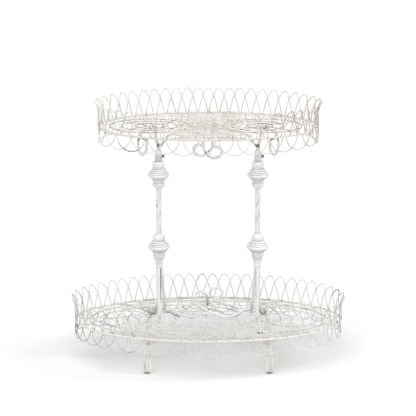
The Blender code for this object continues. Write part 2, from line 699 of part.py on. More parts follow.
# Its end along the net, as shares of the way to the rod, of the rod's setback and of the lift, and
# whether it still runs in the strand's own plane
SWAG_SHARES = [(0.42, 0.0, 0.3, 1.0), (0.64, 0.2, 0.0, 1.0), (0.82, 0.7, 0.2, 0.0)]


def lower_bow(direction, name):
    plane = direction * (BOW_RADIUS + CLEARANCE)
    points = []
    for across, up in LOWER_BOW_SHARES:
        x = direction * across * LOWER_BOW_HALF_WIDTH
        points.append((x, plane, LOWER_RIM_HEIGHT + up * LOWER_BOW_HEIGHT))
    rest = NET_TOP + CLEARANCE + BOW_RADIUS
    rod = POST_X - ROD_INNER_SPREAD
    end = rod - ROD_RADIUS - CLEARANCE - 0.5 * BOW_RADIUS
    for along_share, back_share, lift_share, plane_share in SWAG_SHARES:
        y = plane_share * plane + back_share * ROD_INNER_SETBACK
        points.append((-direction * along_share * rod, y, rest + lift_share * LOWER_SWAG_LIFT))
    points.append((-direction * end, ROD_INNER_SETBACK, rest + LOWER_SWAG_LIFT))
    wire(name, smooth_path(points), BOW_RADIUS, "cast")


# Side loop in shares of its half width and drop, from under the net down and round
SIDE_LOOP_SHARES = [
    (0.55, 0.22), (0.95, 0.55), (0.85, 0.84), (0.0, 1.0), (-0.85, 0.84), (-0.95, 0.55), (-0.30, 0.22),
]


def side_loop(side, name):
    top = UPPER_NET_BOTTOM - CLEARANCE - SIDE_LOOP_RADIUS
    start = POST_X + STEM_LEAN + STEM_RADIUS + CLEARANCE
    turn = start + SIDE_LOOP_HALF_WIDTH
    points = [(side * start, 0.0, top), (side * turn, 0.0, top - SIDE_LOOP_RADIUS)]
    for across, down in SIDE_LOOP_SHARES[::-1]:
        x = side * (SIDE_LOOP_X + across * SIDE_LOOP_HALF_WIDTH)
        points.append((x, 0.0, UPPER_RIM_HEIGHT - down * SIDE_LOOP_DROP))
    wire(name, smooth_path(points), SIDE_LOOP_RADIUS, "rim")


def build():
    basket("lower", LOWER, LOWER_RIM_POINTS, FENCE_LOWER_PITCH, LOBE_LOWER_PITCH)
    basket("upper", UPPER, UPPER_RIM_POINTS, FENCE_UPPER_PITCH, LOBE_UPPER_PITCH)
    for side, suffix in ((-1, "left"), (1, "right")):
        leg_bar(side, "leg_bar_" + suffix)
        rods(side, suffix)
        beads(side, suffix)
        shaft(side, suffix)
        sleeve(side, suffix)
        thumb_screw(side, suffix)
        stem(side, suffix)
        upper_bow(side, "upper_bow_" + suffix)
        lower_bow(side, "lower_bow_" + suffix)
        side_loop(side, "side_loop_" + suffix)
    brace()


build()
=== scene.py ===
import math

import bmesh
import bpy
import numpy as np
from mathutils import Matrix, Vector


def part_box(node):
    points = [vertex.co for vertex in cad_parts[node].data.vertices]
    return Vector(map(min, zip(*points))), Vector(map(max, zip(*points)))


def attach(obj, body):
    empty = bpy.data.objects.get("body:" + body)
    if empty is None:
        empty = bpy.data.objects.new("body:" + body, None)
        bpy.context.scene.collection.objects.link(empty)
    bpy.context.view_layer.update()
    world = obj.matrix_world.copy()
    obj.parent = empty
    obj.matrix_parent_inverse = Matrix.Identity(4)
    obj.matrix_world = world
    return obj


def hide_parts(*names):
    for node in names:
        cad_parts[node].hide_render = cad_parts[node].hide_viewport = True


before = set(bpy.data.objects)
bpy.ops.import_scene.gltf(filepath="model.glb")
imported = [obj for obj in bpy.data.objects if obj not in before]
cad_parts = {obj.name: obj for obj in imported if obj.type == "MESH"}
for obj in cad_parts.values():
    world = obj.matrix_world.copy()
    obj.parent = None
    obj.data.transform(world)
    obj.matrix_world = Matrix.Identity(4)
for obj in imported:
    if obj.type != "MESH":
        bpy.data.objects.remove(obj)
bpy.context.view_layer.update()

# Two-tier oval wire stand in worn white paint. Metres, +Z up, -Y towards the camera.
upZ = np.array([0.0, 0.0, 1.0])
acrossY = np.array([0.0, 1.0, 0.0])
turnedSides, curveSteps = 64, 8
ease = {"length": 0.35, "radius": 0.72}     # of a tube's open end, as shares of its radius
gap = 0.0003      # running clearance between neighbouring solids in the frame


def boxOf(node):
    low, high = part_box(node)
    return np.array(low, float), np.array(high, float)


def camelName(node):
    first, *others = node.split("_")
    return first + "".join(word.capitalize() for word in others)


# shapes are worked out as whole arrays; each is (vertices, faces, wear and painted shade at each vertex)
def gridFaces(rows, columns, closedRows, closedColumns):
    # quads between neighbouring rows and columns, wrapping round where a direction is closed
    row = np.arange(rows if closedRows else rows - 1)[:, None]
    column = np.arange(columns if closedColumns else columns - 1)[None, :]
    nextRow, nextColumn = (row + 1) % rows, (column + 1) % columns
    corners = [row * columns + column, row * columns + nextColumn,
               nextRow * columns + nextColumn, nextRow * columns + column]
    return np.stack(np.broadcast_arrays(*corners), axis=-1).reshape(-1, 4)


def unit(vectors):
    return vectors / np.maximum(np.linalg.norm(vectors, axis=-1, keepdims=True), 1e-12)


def bell(values, middle, width):
    # 1 at the middle, falling to 1/e at the width to either side
    return np.exp(-((values - middle) / width) ** 2)


def ramp(values, start, length):
    # 0 up to the start, then rising to 1 over the length
    return np.clip((values - start) / length, 0, 1)


def spot(values, wear):
    # a mark of wear and painted shade, given as its amount, its place and its reach
    amount, place, reach = wear
    return amount * bell(values, place, reach)


def curveThrough(points):
    # Catmull-Rom curve: each stretch is a cubic through its two points, with slopes from their neighbours
    knots = np.asarray(points, float)
    knots = np.vstack([2 * knots[0] - knots[1], knots, 2 * knots[-1] - knots[-2]])
    before, start, end, after = knots[:-3, None], knots[1:-2, None], knots[2:-1, None], knots[3:, None]
    t = (np.arange(curveSteps) / curveSteps)[None, :, None]
    path = 0.5 * (2 * start + (end - before) * t + (2 * before - 5 * start + 4 * end - after) * t ** 2
                  + (3 * start - before - 3 * end + after) * t ** 3)
    return np.vstack([path.reshape(-1, 3), knots[-2]])


def capped(vertices, faces, sides):
    # ends closed by one face each
    faces.append(list(range(sides))[::-1])
    faces.append(list(range(len(vertices) - sides, len(vertices))))
    return faces


def turnsOf(sides):
    return 2 * math.pi * np.arange(sides) / sides


def tube(path, radius, across, sides, closed, wear=0.0):
    # circle carried along the path, with one radius or one for each point; its plane is set by the tangent
    # and by the direction in across, which is made square to the tangent; open ends are eased
    path = np.asarray(path, float)
    wear = np.broadcast_to(np.asarray(wear, float), len(path))
    across = np.broadcast_to(np.asarray(across, float), path.shape)
    radii = np.broadcast_to(np.asarray(radius, float), len(path))
    if not closed:
        ends = unit(np.array([path[1] - path[0], path[-2] - path[-1]]))
        path = np.vstack([path[0], path[0] + ease["length"] * radii[0] * ends[0], path[1:-1],
                          path[-1] + ease["length"] * radii[-1] * ends[1], path[-1]])
        across = np.vstack([across[0], across, across[-1]])
        wear = np.concatenate([wear[:1], wear, wear[-1:]])
        radii = np.concatenate([[ease["radius"] * radii[0]], radii, [ease["radius"] * radii[-1]]])
    ahead = np.roll(path, -1, axis=0) - np.roll(path, 1, axis=0)
    if not closed:
        ahead[0], ahead[-1] = path[1] - path[0], path[-1] - path[-2]
    ahead = unit(ahead)
    normal = unit(across - (across * ahead).sum(axis=1, keepdims=True) * ahead)
    side = np.cross(ahead, normal)
    turn = turnsOf(sides)
    ring = np.cos(turn)[None, :, None] * normal[:, None] + np.sin(turn)[None, :, None] * side[:, None]
    vertices = (path[:, None] + radii[:, None, None] * ring).reshape(-1, 3)
    faces = gridFaces(len(path), sides, closed, True).tolist()
    if not closed:
        faces = capped(vertices, faces, sides)
    return vertices, faces, np.repeat(wear, sides)


def turnedShape(radii, level, place, wear, closed=True):
    # outline of radius by level spun round the Z axis, closed on itself or capped at its ends; the radii may
    # also be given for each side
    if radii.ndim == 1:
        radii = np.repeat(radii[:, None], turnedSides, axis=1)
    rows, sides = radii.shape
    turn, level = turnsOf(sides)[None, :], np.broadcast_to(level[:, None], radii.shape)
    vertices = np.stack([radii * np.cos(turn), radii * np.sin(turn), level], axis=-1).reshape(-1, 3)
    vertices = vertices + np.asarray(place, float)
    faces = gridFaces(rows, sides, closed, True).tolist()
    if not closed:
        faces = capped(vertices, faces, sides)
    return vertices, faces, np.repeat(wear, sides)


def joined(shapes):
    vertices, faces, wearAndShadeParts, count = [], [], [], 0
    for corners, quads, wear in shapes:
        vertices.append(corners)
        wearAndShadeParts.append(wear)
        faces += [[index + count for index in quad] for quad in quads]
        count += len(corners)
    return np.vstack(vertices), faces, np.concatenate(wearAndShadeParts)


def intoScene(name, data):
    thing = bpy.data.objects.new(name, data)
    bpy.context.scene.collection.objects.link(thing)
    return thing


def addPiece(name, shape, material, body, node):
    vertices, faces, wear = shape
    mesh = bpy.data.meshes.new(name)
    mesh.from_pydata(vertices.tolist(), [], faces)
    wearAndShadeLayer = mesh.attributes.new("wear", "FLOAT", "POINT")
    wearAndShadeLayer.data.foreach_set("value", np.ascontiguousarray(wear, dtype=np.float32))
    work = bmesh.new()
    work.from_mesh(mesh)
    bmesh.ops.recalc_face_normals(work, faces=work.faces)
    work.to_mesh(mesh)
    work.free()
    mesh.polygons.foreach_set("use_smooth", np.ones(len(mesh.polygons), bool))
    mesh.materials.append(material)
    piece = intoScene(name, mesh)
    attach(piece, body)
    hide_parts(node)


def dressNode(node, ending, shape, material, body):
    # a piece named after the node that it replaces
    addPiece(camelName(node) + ending, shape, material, body, node)


def feed(tree, node, inputs):
    # each input gets a value, or is joined to another node's output
    for socket, value in inputs.items():
        if isinstance(value, bpy.types.NodeSocket):
            tree.links.new(value, node.inputs[socket])
        else:
            node.inputs[socket].default_value = value


def addNode(tree, kind, inputs=None, **settings):
    # a new shader node's outputs
    node = tree.nodes.new("ShaderNode" + kind)
    for name, value in settings.items():
        setattr(node, name, value)
    feed(tree, node, inputs or {})
    return node.outputs


def mapRange(tree, value, source=(0.0, 1.0), target=(0.0, 1.0), **settings):
    # a straight-line map from one range to the other, held within it
    inputs = {"Value": value, "From Min": source[0], "From Max": source[1], "To Min": target[0],
              "To Max": target[1]}
    return addNode(tree, "MapRange", inputs, **settings)["Result"]


def combine(tree, operation, first, second):
    return addNode(tree, "Math", {0: first, 1: second}, operation=operation)[0]


def newMaterial(name):
    material = bpy.data.materials.new(name)
    material.use_nodes = True
    return material, material.node_tree, material.node_tree.nodes["Principled BSDF"]


# paint worn down to rust, with dirt and painted shade: one shader node group used by every painted finish
worn = {
    "INPUT": {"Color": ["Paint", "Patina", "Rust"], "Vector": ["Patch Centre"],
              "Float": ["Patina Amount", "Rust Amount", "Chip Amount", "Groove Dirt",
                        "Patch Patina", "Patch Rust", "Patch Chip", "Patch Reach"]},
    "OUTPUT": {"Color": ["Color"], "Float": ["Roughness", "Height"]},
    # each layer's noise (scale, detail, roughness), what the wear and painted shade mark adds to its amount,
    # its edge's width
    "layers": {"Patina": (38, 5, 0.6, 0.8, 0.22), "Rust": (120, 6, 0.65, 0.45, 0.07),
               "Chip": (260, 3, 0.5, 0.35, 0.03)},
    "threshold": 0.74, "fall": 0.42, "chipColour": (0.045, 0.036, 0.028, 1),
    "dirtColour": (0.16, 0.155, 0.15, 1), "roughness": 0.42, "patinaRoughness": 0.16, "rustRoughness": 0.24,
    "grain": (420, 3, 0.5), "grainHeight": 0.35, "bumpStrength": 0.35, "bumpDistance": 0.0004,
}


def makeWornPaint():
    tree = bpy.data.node_groups.new("wornPaint", "ShaderNodeTree")
    for way in ("INPUT", "OUTPUT"):
        for kind, names in worn[way].items():
            for name in names:
                tree.interface.new_socket(name, in_out=way, socket_type="NodeSocket" + kind)
    given = tree.nodes.new("NodeGroupInput").outputs
    place = addNode(tree, "TexCoord")["Object"]
    wear = addNode(tree, "Attribute", attribute_name="wear")["Fac"]

    def noise(scale, detail, roughness):
        inputs = {"Vector": place, "Scale": scale, "Detail": detail, "Roughness": roughness}
        return addNode(tree, "TexNoise", inputs)["Fac"]

    def maths(operation, first, second):
        return combine(tree, operation, first, second)

    def blend(factor, below, above):
        inputs = {"Factor": factor, "A": below, "B": above}
        return addNode(tree, "Mix", inputs, data_type="RGBA")["Result"]

    # a stretch of the piece that is more worn than the rest, fading out from its centre
    away = addNode(tree, "VectorMath", {0: place, 1: given["Patch Centre"]}, operation="DISTANCE")
    patch = mapRange(tree, away["Value"], (0.0, given["Patch Reach"]), (1.0, 0.0))

    def layer(name):
        # 0 to 1 where the noise rises past a threshold, which falls as the amount grows; the amount is the
        # finish's own, with the patch's and that of the wear and painted shade mark added
        scale, detail, roughness, wearShare, edge = worn["layers"][name]
        amount = maths("ADD", given[name + " Amount"], maths("MULTIPLY", patch, given["Patch " + name]))
        amount = maths("ADD", amount, maths("MULTIPLY", wear, wearShare))
        start = maths("SUBTRACT", worn["threshold"], maths("MULTIPLY", amount, worn["fall"]))
        return mapRange(tree, noise(scale, detail, roughness), (start, maths("ADD", start, edge)))

    patina, rust, chips = [layer(name) for name in worn["layers"]]
    colour = blend(patina, given["Paint"], given["Patina"])
    colour = blend(rust, colour, given["Rust"])
    colour = blend(chips, colour, worn["chipColour"])
    # dirt and painted shade: grey where the wear and shade mark lies, by the finish's share
    colour = blend(maths("MULTIPLY", wear, given["Groove Dirt"]), colour, worn["dirtColour"])
    roughness = maths("ADD", worn["roughness"], maths("MULTIPLY", patina, worn["patinaRoughness"]))
    roughness = maths("ADD", roughness, maths("MULTIPLY", rust, worn["rustRoughness"]))
    grain = maths("MULTIPLY", noise(*worn["grain"]), worn["grainHeight"])
    height = maths("SUBTRACT", grain, maths("MAXIMUM", rust, chips))
    feed(tree, tree.nodes.new("NodeGroupOutput"), {"Color": colour, "Roughness": roughness, "Height": height})
    return tree


wornPaint = makeWornPaint()


def makePaint(name, paint, patina, rust, amounts, dirtAndShade, centre=(0, 0, -9), reach=0.1, inPatch=(0, 0, 0)):
    material, tree, shader = newMaterial(name + "Paint")
    values = {"Paint": (*paint, 1), "Patina": (*patina, 1), "Rust": (*rust, 1), "Groove Dirt": dirtAndShade,
              "Patch Centre": centre, "Patch Reach": reach}
    for layer, everywhere, within in zip(worn["layers"], amounts, inPatch):
        values[layer + " Amount"] = everywhere
        values["Patch " + layer] = within
    finish = addNode(tree, "Group", values, node_tree=wornPaint)
    bump = addNode(tree, "Bump", {
        "Strength": worn["bumpStrength"], "Distance": worn["bumpDistance"], "Height": finish["Height"]})
    feed(tree, shader, {
        "Base Color": finish["Color"], "Roughness": finish["Roughness"], "Normal": bump["Normal"]})
    return material


# colours of the paint, its patina and its rust; how much patina, rust and bare chips; dirt and painted shade
# in grooves; and for some a more worn patch, by its centre, its reach and how much more of the three
paints = {
    "castWhite": [(0.79, 0.79, 0.78), (0.6, 0.6, 0.58), (0.38, 0.33, 0.28), (0.36, 0.07, 0.0), 0.55],
    "sleeve": [(0.68, 0.68, 0.67), (0.46, 0.46, 0.45), (0.2, 0.17, 0.14), (0.45, 0.16, 0.08), 0.3],
    "loop": [(0.66, 0.66, 0.65), (0.42, 0.42, 0.41), (0.2, 0.17, 0.14), (0.5, 0.14, 0.06), 0.6],
    "bow": [(0.76, 0.76, 0.74), (0.54, 0.54, 0.52), (0.28, 0.25, 0.21), (0.42, 0.08, 0.04), 0.85],
    "rodWhite": [(0.82, 0.82, 0.8), (0.58, 0.58, 0.56), (0.24, 0.21, 0.17), (0.34, 0.1, 0.04), 0.85],
    "stem": [(0.66, 0.64, 0.6), (0.44, 0.41, 0.36), (0.2, 0.15, 0.11), (0.48, 0.28, 0.14), 0.6],
    "leg": [(0.8, 0.78, 0.73), (0.58, 0.56, 0.51), (0.2, 0.16, 0.11), (0.38, 0.12, 0.08), 0.45],
    "lowerWire": [(0.71, 0.7, 0.67), (0.42, 0.41, 0.39), (0.42, 0.34, 0.25), (0.34, 0.08, 0.03), 0,
                  (-0.18, -0.13, 0.11), 0.13, (0.5, 0.45, 0)],
    "lowerLobe": [(0.65, 0.645, 0.63), (0.5, 0.49, 0.46), (0.22, 0.17, 0.11), (0.22, 0.03, 0.01), 0,
                  (-0.33, -0.06, 0.08), 0.22, (1.3, 0.45, 0.15)],
    "lowerRim": [(0.74, 0.72, 0.68), (0.4, 0.4, 0.38), (0.15, 0.13, 0.11), (0.16, 0.04, 0.03), 0,
                 (-0.03, 0.3, 0.0935), 0.6, (0.95, 0.15, 0.15)],
    "lowerFloorWire": [(0.7, 0.69, 0.665), (0.44, 0.43, 0.41), (0.19, 0.13, 0.08), (0.44, 0.14, 0.07), 0],
    "lowerRing": [(0.78, 0.77, 0.74), (0.56, 0.54, 0.5), (0.38, 0.29, 0.2), (0.28, 0.06, 0.02), 0,
                  (-0.04, -0.16, 0.09), 0.24, (0, 0.7, 0.15)],
    "upperWire": [(0.72, 0.7, 0.66), (0.52, 0.48, 0.42), (0.28, 0.21, 0.14), (0.5, 0.08, 0.02), 0,
                  (0.22, -0.02, 0.56), 0.19, (0.5, 0.22, 0)],
    "upperRim": [(0.7, 0.67, 0.62), (0.46, 0.42, 0.36), (0.28, 0.2, 0.13), (0.48, 0.16, 0.05), 0],
    "upperFloorWire": [(0.72, 0.69, 0.64), (0.46, 0.43, 0.38), (0.26, 0.2, 0.14), (0.5, 0.25, 0.11), 0],
    "upperRing": [(0.78, 0.76, 0.71), (0.56, 0.52, 0.46), (0.3, 0.24, 0.17), (0.34, 0.08, 0.02), 0],
}
paint = {name: makePaint(name, *values) for name, values in paints.items()}


def makeScrewBlack():
    # black metal rubbed lighter in fine streaks
    material, tree, shader = newMaterial("screwBlack")
    place = addNode(tree, "TexCoord")["Object"]
    streaks = addNode(tree, "TexNoise", {"Vector": place, "Scale": 900})["Fac"]
    tone = tree.nodes.new("ShaderNodeValToRGB")
    feed(tree, tone, {"Fac": streaks})
    tone.color_ramp.elements[0].color = (0.03, 0.03, 0.031, 1)
    tone.color_ramp.elements[1].color = (0.24, 0.235, 0.23, 1)
    rough = mapRange(tree, streaks, target=(0.3, 0.6))
    feed(tree, shader, {"Metallic": 0.35, "Base Color": tone.outputs["Color"], "Roughness": rough})
    return material


screwBlack = makeScrewBlack()
print("finishes made")


# radii of the wires; the rim's own radius in the frame, and a little less where it is drawn
wires = {"rim": 0.0025, "rimSeen": 0.0024, "fence": 0.0011, "lobe": 0.0011, "ring": 0.0015, "net": 0.0009,
         "oval": 0.0012, "strand": 0.0012}
fenceShape = {"height": 0.0556, "flare": 0.009, "flareStart": 0.55, "foot": 0.9, "sag": 0.0014,
              "crossing": 0.0013, "shift": 0.06}
lobeShape = {"depth": 0.0355, "foot": 0.9, "sag": 0.002, "crossing": 0.0013, "top": -0.0008, "shift": 0.07}
rimWear = {"amount": 0.7, "reach": 0.004}      # on the loops' wire, close to the rim
floorEdge = 0.0095                      # the floor's wires end this far inside the rim, on its ring
floorOvals = {"lower": (0.03, 0.052), "upper": ()}     # how far further oval wires lie inside the rim
# where the wires along the floor lie, and their longest half length by turns
rowPlaces = {"lower": np.concatenate([np.arange(-0.143, 0.034, 0.0125), [0.055, 0.078, 0.1, 0.121, 0.138]]),
             "upper": np.arange(-0.11, 0.115, 0.01)}
rowReach = {"lower": (0.3, 0.19, 0.17, 0.215), "upper": (0.078, 0.062, 0.07, 0.088, 0.06, 0.072)}
# floor wires: their shift at random, their dips over and under, how often they swing, and the wear on them
netShape = {"shift": 0.0013, "dip": 0.0004, "dips": 45, "swings": (7, 19), "shortest": 0.02,
            "lift": 0.0005, "wear": 0.25, "postWear": 0.3, "insetWear": 0.15}
stemBells = {"x": 0.124, "reachX": 0.034, "reachY": 0.04}
baskets = {
    "lower": {"body": "base", "arches": 56, "lobes": 45, "lobePaint": "lowerLobe", "seed": 3,
              "columnPitch": 0.062, "columnsTo": 0.19, "wave": 0.001,
              "endWear": 0.5, "ovalWear": 0.3, "middleWear": 0.0,
              # how far round the arches start, then a slow wave in their spacing, in pitches
              "phase": 0.14, "drift": 0.06, "driftPeak": 38, "driftPeriod": 30,
              "wornArches": {15: 1.0, 27: 0.6, 28: 0.7}, "moved": {}, "wornLobes": {39: 0.9}},
    "upper": {"body": "upper_tray", "arches": 48, "lobes": 31, "lobePaint": "upperWire", "seed": 8,
              "columnPitch": 0.035, "columnsTo": 0.06, "wave": 0.0013,
              "endWear": 0.1, "ovalWear": 0.5, "middleWear": 0.2,
              "phase": 0.5, "drift": 0.11, "driftPeak": 20, "driftPeriod": 14.5,
              "wornArches": {5: 0.9, 6: 0.9, 7: 0.8}, "moved": {6: 0.4, 7: 0.3}, "wornLobes": {26: 1.6}},
}
# ovals of wire in each floor round the posts: middle, half length and half depth
postOvals = {
    "upper": [(-0.1284, 0.087, 0.062), (-0.1284, 0.061, 0.043), (-0.1284, 0.031, 0.023),
              (0.118, 0.086, 0.062), (0.106, 0.056, 0.043), (0.112, 0.029, 0.022)],
    "lower": [(-0.166, 0.092, 0.092), (-0.184, 0.05, 0.058), (0.16, 0.098, 0.09), (0.186, 0.056, 0.052)],
}
# short wires in the upper floor, from near the middle of each widest oval out to it
spokes = {"angles": (40, 88, 140, 218, 272, 322), "turn": 6, "from": 0.007, "to": 0.084, "squash": 0.72}
# bent strands that lie on the lower floor: their wear, and places along and across it
strayStrands = [
    (0.7, [(-0.213, 0.106), (-0.184, 0.101), (-0.1655, 0.079), (-0.15, 0.067), (-0.134, 0.05)]),
    (0.6, [(0.112, 0.118), (0.13, 0.096), (0.145, 0.071), (0.156, 0.042), (0.161, 0.012), (0.163, -0.06)]),
    (0.5, [(-0.092, 0.058), (-0.065, 0.0767), (-0.029, 0.12), (-0.01, 0.135)]),
    (0.5, [(-0.08, 0.044), (-0.06, 0.0606), (-0.023, 0.109), (-0.004, 0.124)]),
    (0.4, [(-0.07, 0.034), (-0.052, 0.0485), (-0.018, 0.093), (-0.002, 0.108)]),
    (0.4, [(-0.062, 0.026), (-0.047, 0.038), (-0.014, 0.081), (0.002, 0.094)]),
    (1.0, [(-0.052, 0.02), (-0.04, 0.026), (-0.02, 0.041), (-0.003, 0.063), (0.01, 0.07)]),
    (0.4, [(0.0, 0.108), (0.03, 0.1), (0.0605, 0.085), (0.082, 0.066)]),
    (0.4, [(0.004, 0.092), (0.03, 0.08), (0.052, 0.066), (0.074, 0.044)]),
    (0.5, [(0.002, 0.072), (0.02, 0.055), (0.037, 0.036), (0.056, 0.026)]),
    (0.4, [(0.01, 0.122), (0.036, 0.104), (0.0545, 0.081), (0.07, 0.06)]),
    (1.3, [(-0.1, 0.05), (-0.085, 0.044), (-0.075, 0.028), (-0.064, 0.012)]),
    (1.9, [(0.108, -0.0975), (0.114, -0.0985), (0.12, -0.0975)]),
    (1.9, [(0.109, -0.1005), (0.114, -0.102), (0.119, -0.1005)]),
]


def ovalOf(node, radius):
    # half length, half depth and height of a ring's centre line, read from the frame
    low, high = boxOf(node)
    halfLength, halfDepth = (high[:2] - low[:2]) / 2 - radius
    return halfLength, halfDepth, (high[2] + low[2]) / 2


def onOval(oval, along, outward=0.0, lift=0.0):
    # points at shares of the way round an oval, evenly spaced by length, moved outwards and up
    halfLength, halfDepth, height = oval
    angles = np.linspace(-math.pi / 2, 1.5 * math.pi, 6001)
    steps = np.hypot(np.diff(halfLength * np.cos(angles)), np.diff(halfDepth * np.sin(angles)))
    lengths = np.concatenate([[0.0], np.cumsum(steps)])
    angle = np.interp((along % 1.0) * lengths[-1], lengths, angles)
    cosine, sine = np.cos(angle), np.sin(angle)
    normal = unit(np.stack([cosine / halfLength, sine / halfDepth, np.zeros_like(angle)], axis=-1))
    flat = np.stack([halfLength * cosine, halfDepth * sine, np.full_like(angle, height)], axis=-1)
    outward, lift = np.broadcast_to(outward, angle.shape), np.broadcast_to(lift, angle.shape)
    return flat + outward[:, None] * normal + lift[:, None] * upZ, normal


def ovalRing(oval, radius, sides):
    path, _ = onOval(oval, np.arange(220) / 220)
    return tube(path, radius, upZ, sides, True)


def loopsRoundRim(oval, middles, reach, height, side, lift, radius, worn, endWear):
    # one wire of many loops: each row of height and side runs over its own loop, then a short straight
    # return leads to the start of the next; wear is at the rim, on the worn crowns and at the oval's ends
    count = len(middles)
    back = np.linspace(0, 1, 5)[1:-1]
    along = middles[:, None] + reach[None, :]
    nextStart = np.roll(along[:, 0], -1) + np.where(np.arange(count) == count - 1, count, 0)
    returnAlong = along[:, -1:] + (nextStart - along[:, -1])[:, None] * back[None, :]
    returnSide = side[:, -1:] + (side[:, :1] - side[:, -1:]) * back[None, :]
    along = np.hstack([along, returnAlong]).ravel() / count
    outward = np.hstack([side, returnSide]).ravel()
    rise = np.hstack([height, np.full(returnAlong.shape, lift)]).ravel()
    path, normal = onOval(oval, along, outward, rise)
    crowns = np.zeros(height.shape)
    for index, amount in worn.items():
        crowns[index] = amount * (np.abs(height[index]) / np.abs(height[index]).max()) ** 2
    crowns = np.hstack([crowns, np.zeros(returnAlong.shape)]).ravel()
    ends = endWear * (np.abs(path[:, 0]) / oval[0]) ** 8
    wear = rimWear["amount"] * bell(rise, 0, rimWear["reach"]) + crowns + ends
    return tube(path, radius, normal, 8, True, wear)


def fenceWire(oval, basket):
    # each arch is a parabola in height over 0.9 of the pitch to either side; its left leg runs outside the
    # rim's middle and its right leg inside, and its upper part flares outwards with the square of the height
    random = np.random.default_rng(basket["seed"])
    arches = basket["arches"]
    around = 2 * math.pi * (np.arange(arches) - basket["driftPeak"]) / basket["driftPeriod"]
    shifts = random.uniform(-fenceShape["shift"], fenceShape["shift"], arches)
    shifts = shifts + basket["drift"] * np.cos(around)
    for index, shift in basket["moved"].items():
        shifts[index] = shift
    t = np.linspace(-1, 1, 21)
    tops = fenceShape["height"] - random.uniform(0, fenceShape["sag"], arches)
    height = tops[:, None] * (1 - t[None, :] ** 2)
    lean = -fenceShape["crossing"] * np.sign(t) * np.minimum(1, 2.2 * np.abs(t))
    start = fenceShape["flareStart"] * fenceShape["height"]
    flare = fenceShape["flare"] * (np.maximum(0, height - start) / (fenceShape["height"] - start)) ** 2
    middles = np.arange(arches) + 0.5 + basket["phase"] + shifts
    return loopsRoundRim(oval, middles, fenceShape["foot"] * t, height, lean + flare, 0.0, wires["fence"],
                         basket["wornArches"], basket["endWear"])


def lobeWire(oval, basket):
    # each lobe is half an ellipse hanging from the rim, its left side outside and its right side inside
    random = np.random.default_rng(basket["seed"] + 1)
    lobes = basket["lobes"]
    turn = np.linspace(-math.pi / 2, math.pi / 2, 19)
    depth = lobeShape["depth"] - random.uniform(0, lobeShape["sag"], lobes)
    height = lobeShape["top"] - (depth[:, None] + lobeShape["top"]) * np.cos(turn)[None, :]
    side = np.broadcast_to(-lobeShape["crossing"] * np.sin(turn), height.shape)
    middles = np.arange(lobes) + 0.5 + random.uniform(-lobeShape["shift"], lobeShape["shift"], lobes)
    reach = lobeShape["foot"] * np.sin(turn)
    return loopsRoundRim(oval, middles, reach, height, side, lobeShape["top"], wires["lobe"],
                         basket["wornLobes"], basket["endWear"])


def nearStems(points):
    # 1 at the two stems, falling off as a bell with the distance from them
    return (bell(np.abs(points[:, 0]), stemBells["x"], stemBells["reachX"])
            * bell(points[:, 1], 0, stemBells["reachY"]))


def straightWires(tier, oval, basket, random):
    # wires along and across the oval; each swings sideways in two waves that fade out at its ends, and dips
    # over and under in a short one; those along it are cut by turns to different lengths
    halfLength, halfDepth, height = oval
    a, b = halfLength - floorEdge, halfDepth - floorEdge
    columns = np.arange(-basket["columnsTo"], basket["columnsTo"] + 0.001, basket["columnPitch"])
    share = np.linspace(-1, 1, 81)
    slow, quick = netShape["swings"]
    shapes = []
    for turned, places in [(False, rowPlaces[tier]), (True, columns)]:
        shifts = random.uniform(-netShape["shift"], netShape["shift"], len(places))
        for index, place in enumerate(places + shifts):
            reachAlong, reachAcross = (b, a) if turned else (a, b)
            reach = reachAlong * math.sqrt(max(0.0, 1 - (place / reachAcross) ** 2))
            if not turned:
                reach = min(reach, rowReach[tier][index % len(rowReach[tier])])
            if reach < netShape["shortest"]:
                continue
            first, second, third = random.uniform(0, 2 * math.pi, 3)
            swing = np.sin(slow * share + first) + 0.5 * np.sin(quick * share + second)
            across = place + basket["wave"] * swing * (1 - share ** 2)
            flat = [across, reach * share] if turned else [reach * share, across]
            dip = netShape["dip"] * np.sin(netShape["dips"] * share + third)
            path = np.stack([*flat, height + dip], axis=-1)
            wear = netShape["wear"] * random.random() + netShape["postWear"] * nearStems(path)
            wear = wear + basket["endWear"] * (np.abs(path[:, 0]) / halfLength) ** 4
            wear = wear + basket["middleWear"] * bell(path[:, 1], 0, 0.02)
            shapes.append(tube(path, wires["net"], upZ, 6, False, wear))
    return shapes


def ovalWires(tier, oval, basket):
    # ovals inside the rim, more worn towards its ends, and ovals round the posts, more worn near the stems
    halfLength, halfDepth, height = oval
    shapes = []
    for inset in floorOvals[tier]:
        vertices, faces, wear = ovalRing((halfLength - inset, halfDepth - inset, height), wires["oval"], 8)
        wear = wear + netShape["insetWear"] + basket["endWear"] * (np.abs(vertices[:, 0]) / halfLength) ** 2
        shapes.append((vertices, faces, wear))
    for middle, length, depth in postOvals[tier]:
        vertices, faces, _ = ovalRing((length, depth, height + netShape["dip"]), wires["oval"], 8)
        vertices = vertices + np.array([middle, 0, 0])
        shapes.append((vertices, faces, basket["ovalWear"] + 0.25 * nearStems(vertices)))
    return shapes


def spokeWires(height, random):
    # straight in plan, with a slow wave in height just under the ovals
    shapes = []
    away = np.linspace(spokes["from"], spokes["to"], 9)
    level = height - netShape["dip"] * (1 - np.sin(60 * away))
    for middle in (postOvals["upper"][0][0], postOvals["upper"][3][0]):
        turns = random.uniform(-spokes["turn"], spokes["turn"], len(spokes["angles"]))
        for angle in np.radians(np.array(spokes["angles"]) + turns):
            across, back = away * math.cos(angle), spokes["squash"] * away * math.sin(angle)
            path = np.stack([middle + across, back, level], axis=-1)
            shapes.append(tube(path, wires["net"], upZ, 6, False, 0.2 + 0.7 * nearStems(path)))
    return shapes


